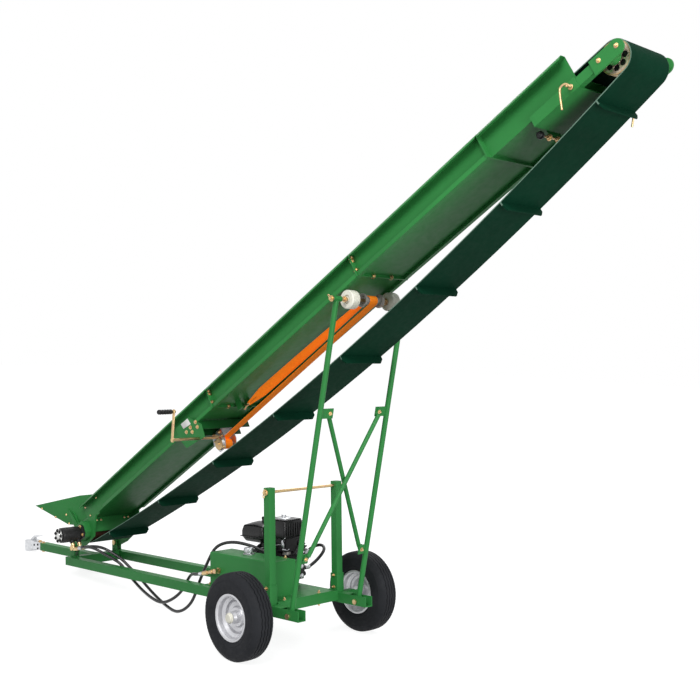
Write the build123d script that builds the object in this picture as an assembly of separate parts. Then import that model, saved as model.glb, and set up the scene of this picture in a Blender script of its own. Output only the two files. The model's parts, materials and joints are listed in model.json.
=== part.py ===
from build123d import *
import math
import os

# Towed firewood conveyor. Millimetres and degrees.
# Modelled with level rails: X forward to the coupler, Y left, Z up, ground under the axle at Z 0.
# At the end the whole machine is set nose down, so that it stands on two wheels and its coupler.

# Wheels
TYRE_R = 210.0
TYRE_W = 122.0
RIM_FLANGE_R = 113.0
RIM_SEAT_R = 101.0
RIM_W = 104.0
BEAD_Y = 39.5
TRACK_HALF = 418.0
SPINDLE_R = 12.5
FIT = 0.05
AXLE_Z = TYRE_R

# Widths, from the belt out to the rails
BELT_W = 276.0
WALL_Y = BELT_W / 2 + 9.0
FLANGE_Y = WALL_Y + 25.0
LIP_Y = WALL_Y + 18.0

# Tow frame
RAIL = 50.0
RAIL_T = 3.0
RAIL_Y = WALL_Y + 30.0
RAIL_Z0 = AXLE_Z - 13.0
RAIL_Z1 = RAIL_Z0 + RAIL
RAIL_OUT = RAIL_Y + RAIL / 2
RAIL_IN = RAIL_Y - RAIL / 2
REAR_X = -40.0
FRONT_X = 1990.0
DRAWBAR_T = 4.0
DRAWBAR_END = 2637.0
BALL_X = DRAWBAR_END + 178.0
BALL_R = 25.2
NOSE_R = 37.0
COUPLER_Z0 = RAIL_Z0 - 20.0
DECK_T = 4.0
DECK_Z = RAIL_Z1 + DECK_T
DECK_X1 = 600.0
DECK_Y = RAIL_Y - 12.0
ARM_W = 48.0
ARM_H = 50.0
ARM_T = 4.0
ARM_Z0 = AXLE_Z - 23.0
ARM_Z1 = ARM_Z0 + ARM_H
ARM_X0 = -238.0
ARM_X1 = 70.0
ARM_OPEN_X = -110.0
ARM_Y = RAIL_OUT + ARM_W / 2
STUB = 40.0
STUB_END = TRACK_HALF - 73.0

# Rest posts
POST = 39.6
POST_T = 3.0
POST_X = -9.0
POST_TOP = ARM_Z1 + 569.0
SLEEVE = 48.0
SLEEVE_H = 95.0
ROD_R = 7.5
ROD_Z = POST_TOP - 22.0
ROD_HALF = ARM_Y + 38.0

# Conveyor hinge and slope
HINGE_X = 1965.0
HINGE_Z = RAIL_Z1 + 53.0
HINGE_R = 10.0
SLOPE = 29.3
EAR_Y0 = WALL_Y
EAR_Y1 = EAR_Y0 + 10.0
CLEVIS_T = 6.0
CLEVIS_IN = EAR_Y0 - 14.0
CLEVIS_OUT = EAR_Y1 + 12.0

# Trough, in conveyor coordinates: X down the slope from the hinge, Z square to the floor
SHEET = 3.0
WALL_Z0 = 67.0
WALL_Z1 = 184.0
FLOOR_Z = 84.0
TROUGH_X = (-219.0, -1698.0, -2956.0, -3829.0, -4312.0)
LIP_START = -380.0
RIB_T = 4.0

# Belt and drums
BELT_T = 4.0
TAIL = (-184.0, 22.0)
TAIL_R = 62.0
HEAD = (-4476.0, 36.0)
HEAD_R = 66.0
DISC_HOLES = 5
DISC_HOLE_R = 16.0
SAG = 141.0
CLEATS = 16
CLEAT_H = 38.0
CLEAT_T = 6.0
CLEAT_CORNER = 22.0
CLEAT_START = 395.0
SHAFT_R = 15.0

# Lift legs, in leg coordinates: Z up along the tubes from the foot pivots
FOOT_X = -163.0
FOOT_Z = ARM_Z0 + 19.0
FOOT_R = 8.0
FOOT_EYE_R = 12.0
LEG_R = 13.5
LEG_T = 3.0
ROLLER_R = 45.0
ROLLER_W = 60.0
ROLLER_Y = WALL_Y - 6.0
ROLLER_GAP = 4.0
ROLLER_X = -2836.0
LEG_AXLE_R = 8.0
BRACE_R = 11.0
BRACE_UP = (ARM_Y - 63.0, 991.0)
BRACE_LOW = (ARM_Y - 35.0, 279.0)

# Lift strap, in conveyor coordinates
STRAP_T = 3.0
STRAP_W = 50.0
STRAP_SEAT = 0.3
DRUM = (-1509.0, -58.0)
DRUM_R = 16.0
COIL_R = 30.0
ANCHOR = (-1752.0, 35.0)
ANCHOR_R = 6.0
SPOOL_R = 20.0

# Hoses
HOSE_R = 8.5
HOSE_SEAT = 0.3
ROUTE_RISE = RAIL_Z0 - 197.0
PORT_Y = (EAR_Y1 + 68.0, EAR_Y1 + 112.0)
PORT_DROP = 97.0
PORT_TURN = 16.6
PORT_REACH = 52.0

# Power pack
TANK_X = (49.0, 560.0)
TANK_Y = (8.0, 160.0)
TANK_TOP = DECK_Z + 174.0
TANK_T = 3.0
ENGINE_X = 372.0
CYLINDER_LEAN = 25.0
RECOIL_R = 95.0
ENGINE_Y = -145.0
CRANK_Z = DECK_Z + 106.0

PARTS = {}


def add(name, shape, place=Pos(0, 0, 0)):
    PARTS[name] = place * shape


def box_at(x0, x1, y0, y1, z0, z1):
    return Pos((x0 + x1) / 2, (y0 + y1) / 2, (z0 + z1) / 2) * Box(x1 - x0, y1 - y0, z1 - z0)


def rod_x(y, z, r, x0, x1):
    return Pos((x0 + x1) / 2, y, z) * Rot(0, 90, 0) * Cylinder(r, x1 - x0)


def rod_y(x, z, r, y0, y1):
    return Pos(x, (y0 + y1) / 2, z) * Rot(90, 0, 0) * Cylinder(r, y1 - y0)


def rod_z(x, y, r, z0, z1):
    return Pos(x, y, (z0 + z1) / 2) * Cylinder(r, z1 - z0)


def plate_x(points, x0, x1):
    face = make_face(Polyline(*[(x0, y, z) for y, z in points], close=True))
    return extrude(face, amount=x1 - x0, dir=(1, 0, 0))


def plate_y(points, y0, y1):
    face = make_face(Polyline(*[(x, y0, z) for x, z in points], close=True))
    return extrude(face, amount=y1 - y0, dir=(0, 1, 0))


def plate_z(points, z0, z1):
    face = make_face(Polyline(*[(x, y, z0) for x, y in points], close=True))
    return extrude(face, amount=z1 - z0, dir=(0, 0, 1))


def tube_x(x0, x1, y, z, side, wall):
    outer = box_at(x0, x1, y - side / 2, y + side / 2, z - side / 2, z + side / 2)
    half = side / 2 - wall
    return outer - box_at(x0 - 1, x1 + 1, y - half, y + half, z - half, z + half)


def tube_y(y0, y1, x, z, side, wall):
    outer = box_at(x - side / 2, x + side / 2, y0, y1, z - side / 2, z + side / 2)
    half = side / 2 - wall
    return outer - box_at(x - half, x + half, y0 - 1, y1 + 1, z - half, z + half)


def right(shape):
    return shape.mirror(Plane.XZ)


def both(shape):
    return shape + right(shape)


def ring_y(profile):
    face = make_face(Polyline(*[(r, y, 0) for r, y in profile], close=True))
    return revolve(face, axis=Axis.Y)


# Tow frame
RAIL_ZC = (RAIL_Z0 + RAIL_Z1) / 2


def frame():
    add("frame_rails", both(tube_x(REAR_X + RAIL, FRONT_X, RAIL_Y, RAIL_ZC, RAIL, RAIL_T)))
    front = tube_y(-RAIL_IN, RAIL_IN, FRONT_X - RAIL / 2, RAIL_ZC, RAIL, RAIL_T)
    rear = tube_y(-RAIL_OUT, RAIL_OUT, REAR_X + RAIL / 2, RAIL_ZC, RAIL, RAIL_T)
    add("front_cross_tube", front)
    add("rear_cross_tube", rear)
    add("drawbar", tube_x(FRONT_X, DRAWBAR_END, 0, RAIL_ZC, RAIL, DRAWBAR_T))
    x = FRONT_X
    outline = [(x - RAIL, -RAIL_IN), (x, -RAIL_IN), (x + 190, -30), (x + 190, 30), (x, RAIL_IN), (x - RAIL, RAIL_IN)]
    add("drawbar_plate", plate_z(outline, RAIL_Z0 - 6, RAIL_Z0))
    add("deck_plate", box_at(REAR_X, DECK_X1, -DECK_Y, DECK_Y, RAIL_Z1, DECK_Z))


def outrigger():
    y0 = RAIL_OUT
    y1 = RAIL_OUT + ARM_W
    arm = box_at(ARM_X0, ARM_X1, y0, y1, ARM_Z0, ARM_Z1)
    arm -= box_at(ARM_X0 - 1, ARM_X1 + 1, y0 + ARM_T, y1 - ARM_T, ARM_Z0 + ARM_T, ARM_Z1 - ARM_T)
    arm -= box_at(ARM_X0 - 1, ARM_OPEN_X, y0 + ARM_T, y1 - ARM_T, ARM_Z0 + ARM_T, ARM_Z1 + 1)
    arm -= box_at(-STUB / 2, STUB / 2, y0 - 1, y1 + 1, AXLE_Z - STUB / 2, AXLE_Z + STUB / 2)
    return arm - rod_y(FOOT_X, FOOT_Z, FOOT_R + 0.1, y0 - 1, y1 + 1)


def axle_stub():
    stub = box_at(-STUB / 2, STUB / 2, RAIL_OUT, STUB_END, AXLE_Z - STUB / 2, AXLE_Z + STUB / 2)
    return stub + rod_y(0, AXLE_Z, SPINDLE_R, STUB_END, TRACK_HALF + 50)


def coupler():
    x0 = DRAWBAR_END
    under = COUPLER_Z0 - 27
    over = RAIL_Z1 + 73
    side = [(x0, RAIL_Z0 + 2), (x0, RAIL_Z1 - 2), (x0 + 60, RAIL_Z1 + 2), (BALL_X - 22, RAIL_Z1 + 9),
            (BALL_X + 18, RAIL_Z1 + 4), (BALL_X + NOSE_R, RAIL_Z1 - 22), (BALL_X + NOSE_R, COUPLER_Z0),
            (BALL_X - NOSE_R, COUPLER_Z0), (BALL_X - NOSE_R - 24, RAIL_Z0)]
    body = plate_y(side, -NOSE_R, NOSE_R)
    plan = plate_z([(x0, -25), (x0 + 80, -27), (BALL_X, -NOSE_R), (BALL_X, NOSE_R), (x0 + 80, 27), (x0, 25)], under, over)
    body = body & (plan + rod_z(BALL_X, 0, NOSE_R, under, over))
    body -= box_at(x0 + 14, BALL_X - NOSE_R + 6, -20, 20, under, RAIL_Z1 - 8)
    ball_z = COUPLER_Z0 + BALL_R
    body -= Pos(BALL_X, 0, ball_z) * Sphere(BALL_R)
    body -= rod_z(BALL_X, 0, BALL_R, under, ball_z)
    shank = RAIL / 2 - DRAWBAR_T - 0.2
    body += box_at(x0 - 80, x0, -shank, shank, RAIL_ZC - shank, RAIL_ZC + shank)
    add("coupler_body", body)
    z0 = RAIL_Z1
    grip = [(x0 + 30, z0 + 39), (x0 + 34, z0 + 45), (x0 + 118, z0 + 37), (x0 + 150, z0 + 15), (x0 + 150, z0 - 2),
            (x0 + 118, z0 - 2), (x0 + 112, z0 + 25)]
    add("coupler_latch", plate_y(grip, -11, 11) - body)


def clevis():
    x0 = FRONT_X - RAIL
    base = box_at(x0, FRONT_X, CLEVIS_IN, CLEVIS_OUT, RAIL_Z1, RAIL_Z1 + CLEVIS_T)
    cheek = box_at(x0, FRONT_X, CLEVIS_IN, CLEVIS_OUT, RAIL_Z1 + CLEVIS_T, HINGE_Z)
    cheek += rod_y(HINGE_X, HINGE_Z, RAIL / 2, CLEVIS_IN, CLEVIS_OUT)
    cheek -= box_at(x0 - 9, FRONT_X + 9, CLEVIS_IN + CLEVIS_T, CLEVIS_OUT - CLEVIS_T, RAIL_Z1 + CLEVIS_T, HINGE_Z + 99)
    return base + cheek - rod_y(HINGE_X, HINGE_Z, HINGE_R + 0.1, 0, 300)


def pin_y(x, z, r, y0, y1, head):
    return rod_y(x, z, r, y0, y1) + rod_y(x, z, r * 1.6, y0 - head, y0) + rod_y(x, z, r * 1.6, y1, y1 + head)


def frame_joints():
    add("outriggers", both(outrigger()))
    add("axle_stubs", both(axle_stub()))
    add("hinge_clevises", both(clevis()))
    hinge = pin_y(HINGE_X, HINGE_Z, HINGE_R, CLEVIS_IN, CLEVIS_OUT, 7)
    foot = pin_y(FOOT_X, FOOT_Z, FOOT_R, RAIL_OUT, RAIL_OUT + ARM_W, 7)
    add("hinge_pins", both(hinge))
    add("foot_bolts", both(foot))


def posts():
    half = SLEEVE / 2
    z1 = ARM_Z1 + SLEEVE_H
    sleeve = box_at(POST_X - half, POST_X + half, ARM_Y - half, ARM_Y + half, ARM_Z1, z1)
    bore = half - 4
    sleeve -= box_at(POST_X - bore, POST_X + bore, ARM_Y - bore, ARM_Y + bore, ARM_Z1 - 1, z1 + 1)
    add("post_sleeves", both(sleeve))
    half = POST / 2
    post = box_at(POST_X - half, POST_X + half, ARM_Y - half, ARM_Y + half, ARM_Z1, POST_TOP)
    bore = half - POST_T
    post -= box_at(POST_X - bore, POST_X + bore, ARM_Y - bore, ARM_Y + bore, ARM_Z1 - 1, POST_TOP - POST_T)
    post -= rod_y(POST_X, ROD_Z, ROD_R + 0.1, 0, 400)
    add("rest_posts", both(post))
    rod = rod_y(POST_X, ROD_Z, ROD_R, -ROD_HALF, ROD_HALF)
    washer = ARM_Y + POST / 2
    for y in (washer, -washer - 4):
        rod += rod_y(POST_X, ROD_Z, ROD_R * 1.9, y, y + 4)
    add("rest_rod", rod)


# Wheels
def tyre(y):
    w = TYRE_W / 2
    seat = RIM_SEAT_R
    lip = RIM_FLANGE_R
    wall = TYRE_R - lip
    belly = lip + 0.38 * wall
    shoulder = lip + 0.71 * wall
    outer = [(seat, BEAD_Y), (seat + 2.5, BEAD_Y + 4), (lip + 0.6, BEAD_Y + 7), (lip + 4, w - 8), (belly, w),
             (shoulder, w - 3), (TYRE_R - 6, w - 16), (TYRE_R, w - 34)]
    inner = [(TYRE_R - 10, w - 36), (TYRE_R - 18, w - 22), (shoulder - 4, w - 13), (belly, w - 9), (lip, w - 22),
             (seat, BEAD_Y - 9)]
    ring = outer + [(r, -t) for r, t in reversed(outer)]
    hole = inner[::-1] + [(r, -t) for r, t in inner]
    solid = ring_y(ring) - ring_y(hole)
    return Pos(0, y, AXLE_Z) * solid


def rim(y, out):
    w = RIM_W / 2
    seat = RIM_SEAT_R
    lip = RIM_FLANGE_R
    half = [(lip, w), (lip, w - 4), (seat + 2, w - 7), (seat, BEAD_Y), (seat, 22), (86, 14)]
    barrel = half + [(r, -t) for r, t in reversed(half)]
    inside = [(82, -13), (82, 13), (96, 24), (97, w - 12), (98, w - 5), (104, w)]
    barrel = barrel + [(104, -w), (98, -w + 5), (97, -w + 12), (96, -24)] + inside
    shell = ring_y(barrel)
    disc = ring_y([(84, -4), (84, 2), (70, 8), (52, 4), (44, 14), (26, 14), (26, 8), (40, 8), (48, -2), (70, 2)])
    hub = ring_y([(SPINDLE_R + FIT, -40), (30, -40), (30, 30), (24, 44), (24, 50), (SPINDLE_R + FIT, 50)])
    cap = ring_y([(0, 56), (0, 60), (18, 60), (24, 54), (24, 50), (20, 50), (18, 56)])
    wheel = shell + disc + hub + cap
    if out < 0:
        wheel = wheel.mirror(Plane.XZ)
    return Pos(0, y, AXLE_Z) * wheel


def wheels():
    for side, y in (("left", TRACK_HALF), ("right", -TRACK_HALF)):
        add("tyre_" + side, tyre(y))
        add("rim_" + side, rim(y, y))


# Power pack
def tank():
    x0, x1 = TANK_X
    y0, y1 = TANK_Y
    shell = box_at(x0, x1, y0, y1, DECK_Z, TANK_TOP)
    shell = fillet(shell.edges().filter_by(Axis.X).group_by(Axis.Z)[-1], 6)
    shell -= box_at(x0 + TANK_T, x1 - TANK_T, y0 + TANK_T, y1 - TANK_T, DECK_Z + TANK_T, TANK_TOP - TANK_T)
    cap_x = 340
    cap_y = 76
    shell -= rod_z(cap_x, cap_y, 22, TANK_TOP - 9, TANK_TOP + 9)
    add("hydraulic_tank", shell)
    cap = rod_z(cap_x, cap_y, 30, TANK_TOP, TANK_TOP + 5) + rod_z(cap_x, cap_y, 20, TANK_TOP - 12, TANK_TOP)
    cap += rod_z(cap_x, cap_y, 17, TANK_TOP + 5, TANK_TOP + 14)
    cap += rod_z(cap_x, cap_y, 26, TANK_TOP + 14, TANK_TOP + 36)
    add("filler_cap", fillet(cap.edges().sort_by(Axis.Z)[-1], 6))


def cylinder():
    barrel = box_at(-82, -6, -40, 40, 40, 128) + box_at(-76, -12, -34, 34, 128, 138)
    for i in range(7):
        fin = 62 + 9 * i
        barrel += box_at(-90, -3, -50, 50, fin, fin + 3)
    return Pos(ENGINE_X, ENGINE_Y, CRANK_Z) * Rot(-CYLINDER_LEAN, 0, 0) * barrel


def fuel_tank(bottom):
    x0 = ENGINE_X - 1
    x1 = ENGINE_X + 173
    y0 = ENGINE_Y - 45
    y1 = ENGINE_Y + 105
    lower = box_at(x0, x1, y0, y1, bottom, bottom + 28)
    lower = fillet(lower.edges().filter_by(Axis.Z), 24)
    lower = fillet(lower.edges().group_by(Axis.Z)[0], 12)
    seam = box_at(x0 - 1, x1 + 11, y0 - 8, y1 + 8, bottom + 28, bottom + 32)
    seam = fillet(seam.edges().filter_by(Axis.Z), 28)
    upper = box_at(x0, x1, y0, y1, bottom + 32, bottom + 90)
    upper = fillet(upper.edges().filter_by(Axis.Z), 24)
    upper = fillet(upper.edges().group_by(Axis.Z)[-1], 20)
    dome = box_at(x0 + 24, x1 - 24, y0 + 14, y1 - 30, bottom + 90, bottom + 114)
    dome = fillet(dome.edges().filter_by(Axis.Z), 30)
    dome = fillet(dome.edges().group_by(Axis.Z)[-1], 14)
    return lower + seam + upper + dome + rod_z(ENGINE_X + 66, ENGINE_Y + 12, 28, bottom + 114, bottom + 132)


def engine():
    x = ENGINE_X
    y = ENGINE_Y
    z = CRANK_Z
    seat = z + 104
    base = box_at(x - 82, x + 75, y - 70, y + 70, DECK_Z, DECK_Z + 14)
    case = box_at(x - 95, x + 75, y - 84, y + 84, DECK_Z + 14, z + 62)
    case = chamfer(case.edges().filter_by(Axis.X).group_by(Axis.Z)[-1], 26)
    bracket = box_at(x + 10, x + 68, y - 45, y + 50, z + 50, seat)
    air_z = z + 143
    carburettor = box_at(x - 157, x - 72, y - 5, y + 70, z + 73, air_z)
    block = base + case + bracket + cylinder() + carburettor
    block += rod_x(y, z, 11, x - 118, x - 95)
    block += rod_x(y, z, 46, x - 103, x - 95)
    add("engine_block", block)
    cowl = rod_x(y, z + 2, RECOIL_R, x + 75, x + 114)
    cowl = fillet(cowl.edges().sort_by(Axis.X)[-1], 16)
    cowl += rod_x(y, z + 2, RECOIL_R - 45, x + 114, x + 126)
    for i in range(10):
        slot = Rot(36 * i, 0, 0) * box_at(-9, 9, -4, 4, RECOIL_R - 38, RECOIL_R - 14)
        cowl -= Pos(x + 114, y, z + 2) * slot
    add("engine_recoil_cowl", cowl)
    add("engine_fuel_tank", fuel_tank(seat))
    air = box_at(x - 182, x - 27, y - 27, y + 105, air_z, air_z + 100)
    air = fillet(air.edges().filter_by(Axis.Z), 20)
    air = fillet(air.edges().group_by(Axis.Z)[-1], 14)
    add("engine_air_cleaner", air)
    muff = box_at(x - 87, x - 10, y - 117, y - 33, z + 62, z + 138)
    muff = fillet(muff.edges().filter_by(Axis.X), 14)
    for i in range(5):
        sx = x - 78 + 14 * i
        muff -= box_at(sx, sx + 6, y - 119, y - 111, z + 78, z + 122)
    add("engine_muffler", muff)
    pump = rod_x(y, z, 60, x - 122, x - 103) + box_at(x - 152, x - 122, y - 45, y + 45, z - 48, z + 48)
    pump += box_at(x - 180, x - 152, y - 36, y + 36, z - 40, z + 40)
    pump -= rod_x(y, z, 12, x - 119, x - 90)
    pump += Pos(*LOOP_PUMP) * Rot(LOOP_PUMP_TURN, 0, 0) * rod_z(0, 0, 12, 0, LOOP_PUMP_REACH)
    add("pump", pump)


def control_valve():
    x0 = TANK_X[0] + 6
    y1 = TANK_Y[0]
    body = box_at(x0, x0 + 60, y1 - 60, y1 - 8, VALVE_Z0, VALVE_Z1)
    body += box_at(x0 + 8, x0 + 52, y1 - 8, y1, VALVE_Z0 + 12, VALVE_Z1 - 12)
    body += rod_z(x0 + 30, y1 - 34, 14, VALVE_Z1, VALVE_Z1 + 16)
    body += rod_y(LOOP_VALVE[0], LOOP_VALVE[2], 12, LOOP_VALVE[1], y1 - 60)
    body += rod_y(LOOP_VALVE[0], LOOP_VALVE[2] - 30, 12, LOOP_VALVE[1], y1 - 60)
    body += rod_x(VALVE_PORT[1], VALVE_PORT[2], 12, x0 + 60, VALVE_PORT[0])
    add("control_valve", body)


# Conveyor
CONVEYOR = Pos(HINGE_X, 0, HINGE_Z) * Rot(0, SLOPE, 0)


def trough_section(x1, x0, lip, rib_low, rib_high):
    w = WALL_Y
    half = [(w - SHEET, WALL_Z1), (FLANGE_Y, WALL_Z1), (FLANGE_Y, WALL_Z1 - SHEET), (w, WALL_Z1 - SHEET)]
    if lip:
        half += [(w, WALL_Z0 + SHEET), (LIP_Y, WALL_Z0 + SHEET), (LIP_Y, WALL_Z0)]
    else:
        half += [(w, WALL_Z0)]
    half += [(w - SHEET, WALL_Z0), (w - SHEET, FLOOR_Z - SHEET)]
    under = [(-y, z) for y, z in reversed(half)]
    top = [(-(w - SHEET), FLOOR_Z), (w - SHEET, FLOOR_Z)]
    body = plate_x(half + under + top, x0, x1)
    for at, wanted in ((x1 - RIB_T, rib_low), (x0, rib_high)):
        if not wanted:
            continue
        body += box_at(at, at + RIB_T, -w + SHEET, w - SHEET, WALL_Z0, FLOOR_Z - SHEET)
        for s in (1, -1):
            y0, y1 = sorted((s * w, s * FLANGE_Y))
            body += box_at(at, at + RIB_T, y0, y1, WALL_Z0, WALL_Z1 - SHEET)
    return body


def strap_anchor():
    ax, az = ANCHOR
    cheek = box_at(ax - 20, ax + 20, STRAP_W / 2 + 5, STRAP_W / 2 + 10, az - 8, FLOOR_Z - SHEET)
    return both(cheek) + rod_y(ax, az, ANCHOR_R, -STRAP_W / 2 - 10, STRAP_W / 2 + 10)


def trough():
    last = len(TROUGH_X) - 2
    for i in range(last + 1):
        x1 = TROUGH_X[i]
        x0 = TROUGH_X[i + 1]
        body = trough_section(x1, x0, i < last, i > 0, i < last)
        if i == 0:
            for s in (1, -1):
                y0, y1 = sorted((s * WALL_Y, s * (LIP_Y + 1)))
                body -= box_at(LIP_START, x1 + 1, y0, y1, WALL_Z0 - 1, WALL_Z0 + SHEET + 0.5)
        if i == 1:
            body += strap_anchor()
        add("trough_%d" % (i + 1), body, CONVEYOR)


def tail():
    tx, tz = TAIL
    outline = [(-335, WALL_Z0 + 5), (-124, 108), (-94, 234), (-82, 234), (-80, 92), (-50, 70), (12, 26), (27, 8),
               (27, -8), (12, -26), (-112, -44), (-251, -34)]
    plate = plate_y(outline, EAR_Y0, EAR_Y1)
    plate -= rod_y(0, 0, HINGE_R + FIT, 0, 300)
    plate -= rod_y(tx, tz, SHAFT_R + 0.5, 0, 300)
    add("tail_plates", both(plate), CONVEYOR)
    end = BELT_W / 2 - 4
    web = end - 8
    drum = ring_y([(SHAFT_R, web - 8), (SHAFT_R, web), (TAIL_R - 6, web), (TAIL_R - 6, end), (TAIL_R, end),
                   (TAIL_R, -end), (TAIL_R - 6, -end), (TAIL_R - 6, -web), (SHAFT_R, -web), (SHAFT_R, 8 - web),
                   (TAIL_R - 6, 8 - web), (TAIL_R - 6, web - 8)])
    shaft = rod_y(0, 0, SHAFT_R, -EAR_Y1 - 29, EAR_Y1)
    add("drive_drum", Pos(tx, 0, tz) * (drum + shaft), CONVEYOR)
    housing = -EAR_Y1 - 25
    bearing = rod_y(tx, tz, 36, housing, -EAR_Y1) - rod_y(tx, tz, SHAFT_R + 0.1, housing - 1, 0)
    bearing += box_at(tx - 62, tx + 62, -EAR_Y1 - 10, -EAR_Y1, tz - 20, tz + 20) - rod_y(tx, tz, 30, housing, 0)
    add("tail_bearing", bearing, CONVEYOR)
    motor = box_at(tx - 58, tx + 58, EAR_Y1, EAR_Y1 + 16, tz - 46, tz + 46)
    motor = chamfer(motor.edges().filter_by(Axis.Y), 20)
    motor += rod_y(tx, tz, 40, EAR_Y1 + 16, EAR_Y1 + 46)
    motor += rod_y(tx, tz, 45, EAR_Y1 + 46, EAR_Y1 + 176)
    motor += rod_y(tx, tz, 40, EAR_Y1 + 176, EAR_Y1 + 188)
    for y in PORT_Y:
        motor += rod_z(tx, y, 13, tz - 58, tz - 34)
    add("hydraulic_motor", motor, CONVEYOR)
    low = tz - PORT_DROP
    elbows = []
    for y in PORT_Y:
        elbow = rod_z(tx, y, 9, low, tz - 58) + rod_z(tx, y, 12, tz - 74, tz - 60) + Pos(tx, y, low) * Sphere(9.5)
        outlet = rod_x(0, 0, 9, -PORT_REACH, 0) + rod_x(0, 0, 11.5, -PORT_REACH, -PORT_REACH + 30)
        elbows.append(elbow + Pos(tx, y, low) * Rot(0, -PORT_TURN, 0) * outlet)
    add("motor_fittings", elbows[0] + elbows[1], CONVEYOR)


WING_FOLD = -76.0
WING_T = 3.0
WING_TIP = (152.0, WALL_Y + 103.0, 369.0)


def hopper():
    y0 = WALL_Y - SHEET - WING_T
    flat = [(-440, 112), (-397, WALL_Z1 - SHEET), (WING_FOLD, 238), (WING_FOLD, 118), (-219, 104)]
    side = plate_y(flat, y0, y0 + WING_T)
    tip_x, tip_y, tip_z = WING_TIP
    a = Vector(WING_FOLD, y0, 238)
    b = Vector(WING_FOLD, y0, 118)
    tip = Vector(tip_x, tip_y, tip_z)
    c = tip + (a - tip) * 0.03
    d = tip + (b - tip) * 0.06
    normal = (c - a).cross(b - a).normalized()
    if normal.Y < 0:
        normal = normal * -1
    face = make_face(Polyline(a, c, d, b, close=True))
    flare = extrude(face, amount=WING_T, dir=normal)
    add("hopper_wings", both(side + flare), CONVEYOR)
    apron = make_face(Polyline(b, d, Vector(d.X, -d.Y, d.Z), Vector(b.X, -b.Y, b.Z), close=True))
    down = Vector(d.Z - b.Z, 0, -(d.X - b.X)).normalized()
    add("hopper_apron", extrude(apron, amount=WING_T, dir=down), CONVEYOR)


def belt_loop(grow):
    tx, tz = TAIL
    hx, hz = HEAD
    rt = TAIL_R + grow
    rh = HEAD_R + grow
    chord = math.hypot(tx - hx, tz - hz)
    big = chord * chord / (8 * SAG) + SAG / 2 + grow
    slope = math.atan2(hz - tz, hx - tx)
    lean = math.asin((rh - rt) / chord)
    top = slope - math.pi / 2 - lean
    up = (math.cos(top), math.sin(top))
    dt = big - rt
    dh = big - rh
    along = (dt * dt - dh * dh + chord * chord) / (2 * chord)
    rise = math.sqrt(dt * dt - along * along)
    ux, uz = math.cos(slope), math.sin(slope)
    cx = tx + ux * along + uz * rise
    cz = tz + uz * along - ux * rise
    ends = {}
    for key, (px, pz), r in (("tail", TAIL, rt), ("head", HEAD, rh)):
        n = math.hypot(px - cx, pz - cz)
        ends[key + "_top"] = (px + up[0] * r, pz + up[1] * r)
        ends[key + "_low"] = (px + (px - cx) / n * r, pz + (pz - cz) / n * r)
    ends["tail_mid"] = (tx + rt * math.cos(0.0), tz)
    ends["head_mid"] = (hx - rh, hz)
    mid_x = (ends["tail_low"][0] + ends["head_low"][0]) / 2
    ends["sag_mid"] = (mid_x, cz - math.sqrt(big * big - (mid_x - cx) ** 2))
    ends["centre"] = (cx, cz, big)
    return ends


def loop_face(grow, y):
    e = belt_loop(grow)

    def p(key):
        return (e[key][0], y, e[key][1])

    edges = [Line(p("tail_top"), p("head_top")), ThreePointArc(p("head_top"), p("head_mid"), p("head_low")),
             ThreePointArc(p("head_low"), p("sag_mid"), p("tail_low")),
             ThreePointArc(p("tail_low"), p("tail_mid"), p("tail_top"))]
    return make_face(Wire(edges))


def cleat_places():
    e = belt_loop(BELT_T)
    cx, cz, big = e["centre"]
    places = []
    lx, lz = e["tail_low"]
    start = math.atan2(lz - cz, lx - cx)
    end = math.atan2(e["head_low"][1] - cz, e["head_low"][0] - cx)
    sag_len = big * abs(end - start)
    hx, hz = HEAD
    tx, tz = TAIL
    head_r = HEAD_R + BELT_T
    tail_r = TAIL_R + BELT_T
    head_a0 = math.atan2(e["head_low"][1] - hz, e["head_low"][0] - hx)
    head_a1 = math.atan2(e["head_top"][1] - hz, e["head_top"][0] - hx)
    head_turn = (head_a0 - head_a1) % (2 * math.pi)
    tail_a0 = math.atan2(e["tail_top"][1] - tz, e["tail_top"][0] - tx)
    tail_a1 = math.atan2(e["tail_low"][1] - tz, e["tail_low"][0] - tx)
    tail_turn = (tail_a0 - tail_a1) % (2 * math.pi)
    run = math.hypot(e["head_top"][0] - e["tail_top"][0], e["head_top"][1] - e["tail_top"][1])
    total = sag_len + head_r * head_turn + run + tail_r * tail_turn
    first = CLEAT_START - abs(lx)
    for i in range(CLEATS):
        s = (first + i * total / CLEATS) % total
        if s < sag_len:
            a = start - s / big
            places.append((cx + big * math.cos(a), cz + big * math.sin(a), math.cos(a), math.sin(a)))
            continue
        s -= sag_len
        if s < head_r * head_turn:
            a = head_a0 - s / head_r
            places.append((hx + head_r * math.cos(a), hz + head_r * math.sin(a), math.cos(a), math.sin(a)))
            continue
        s -= head_r * head_turn
        if s < run:
            f = s / run
            x = e["head_top"][0] + f * (e["tail_top"][0] - e["head_top"][0])
            z = e["head_top"][1] + f * (e["tail_top"][1] - e["head_top"][1])
            places.append((x, z, math.cos(tail_a0), math.sin(tail_a0)))
            continue
        s -= run
        a = tail_a0 - s / tail_r
        places.append((tx + tail_r * math.cos(a), tz + tail_r * math.sin(a), math.cos(a), math.sin(a)))
    return places


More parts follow.
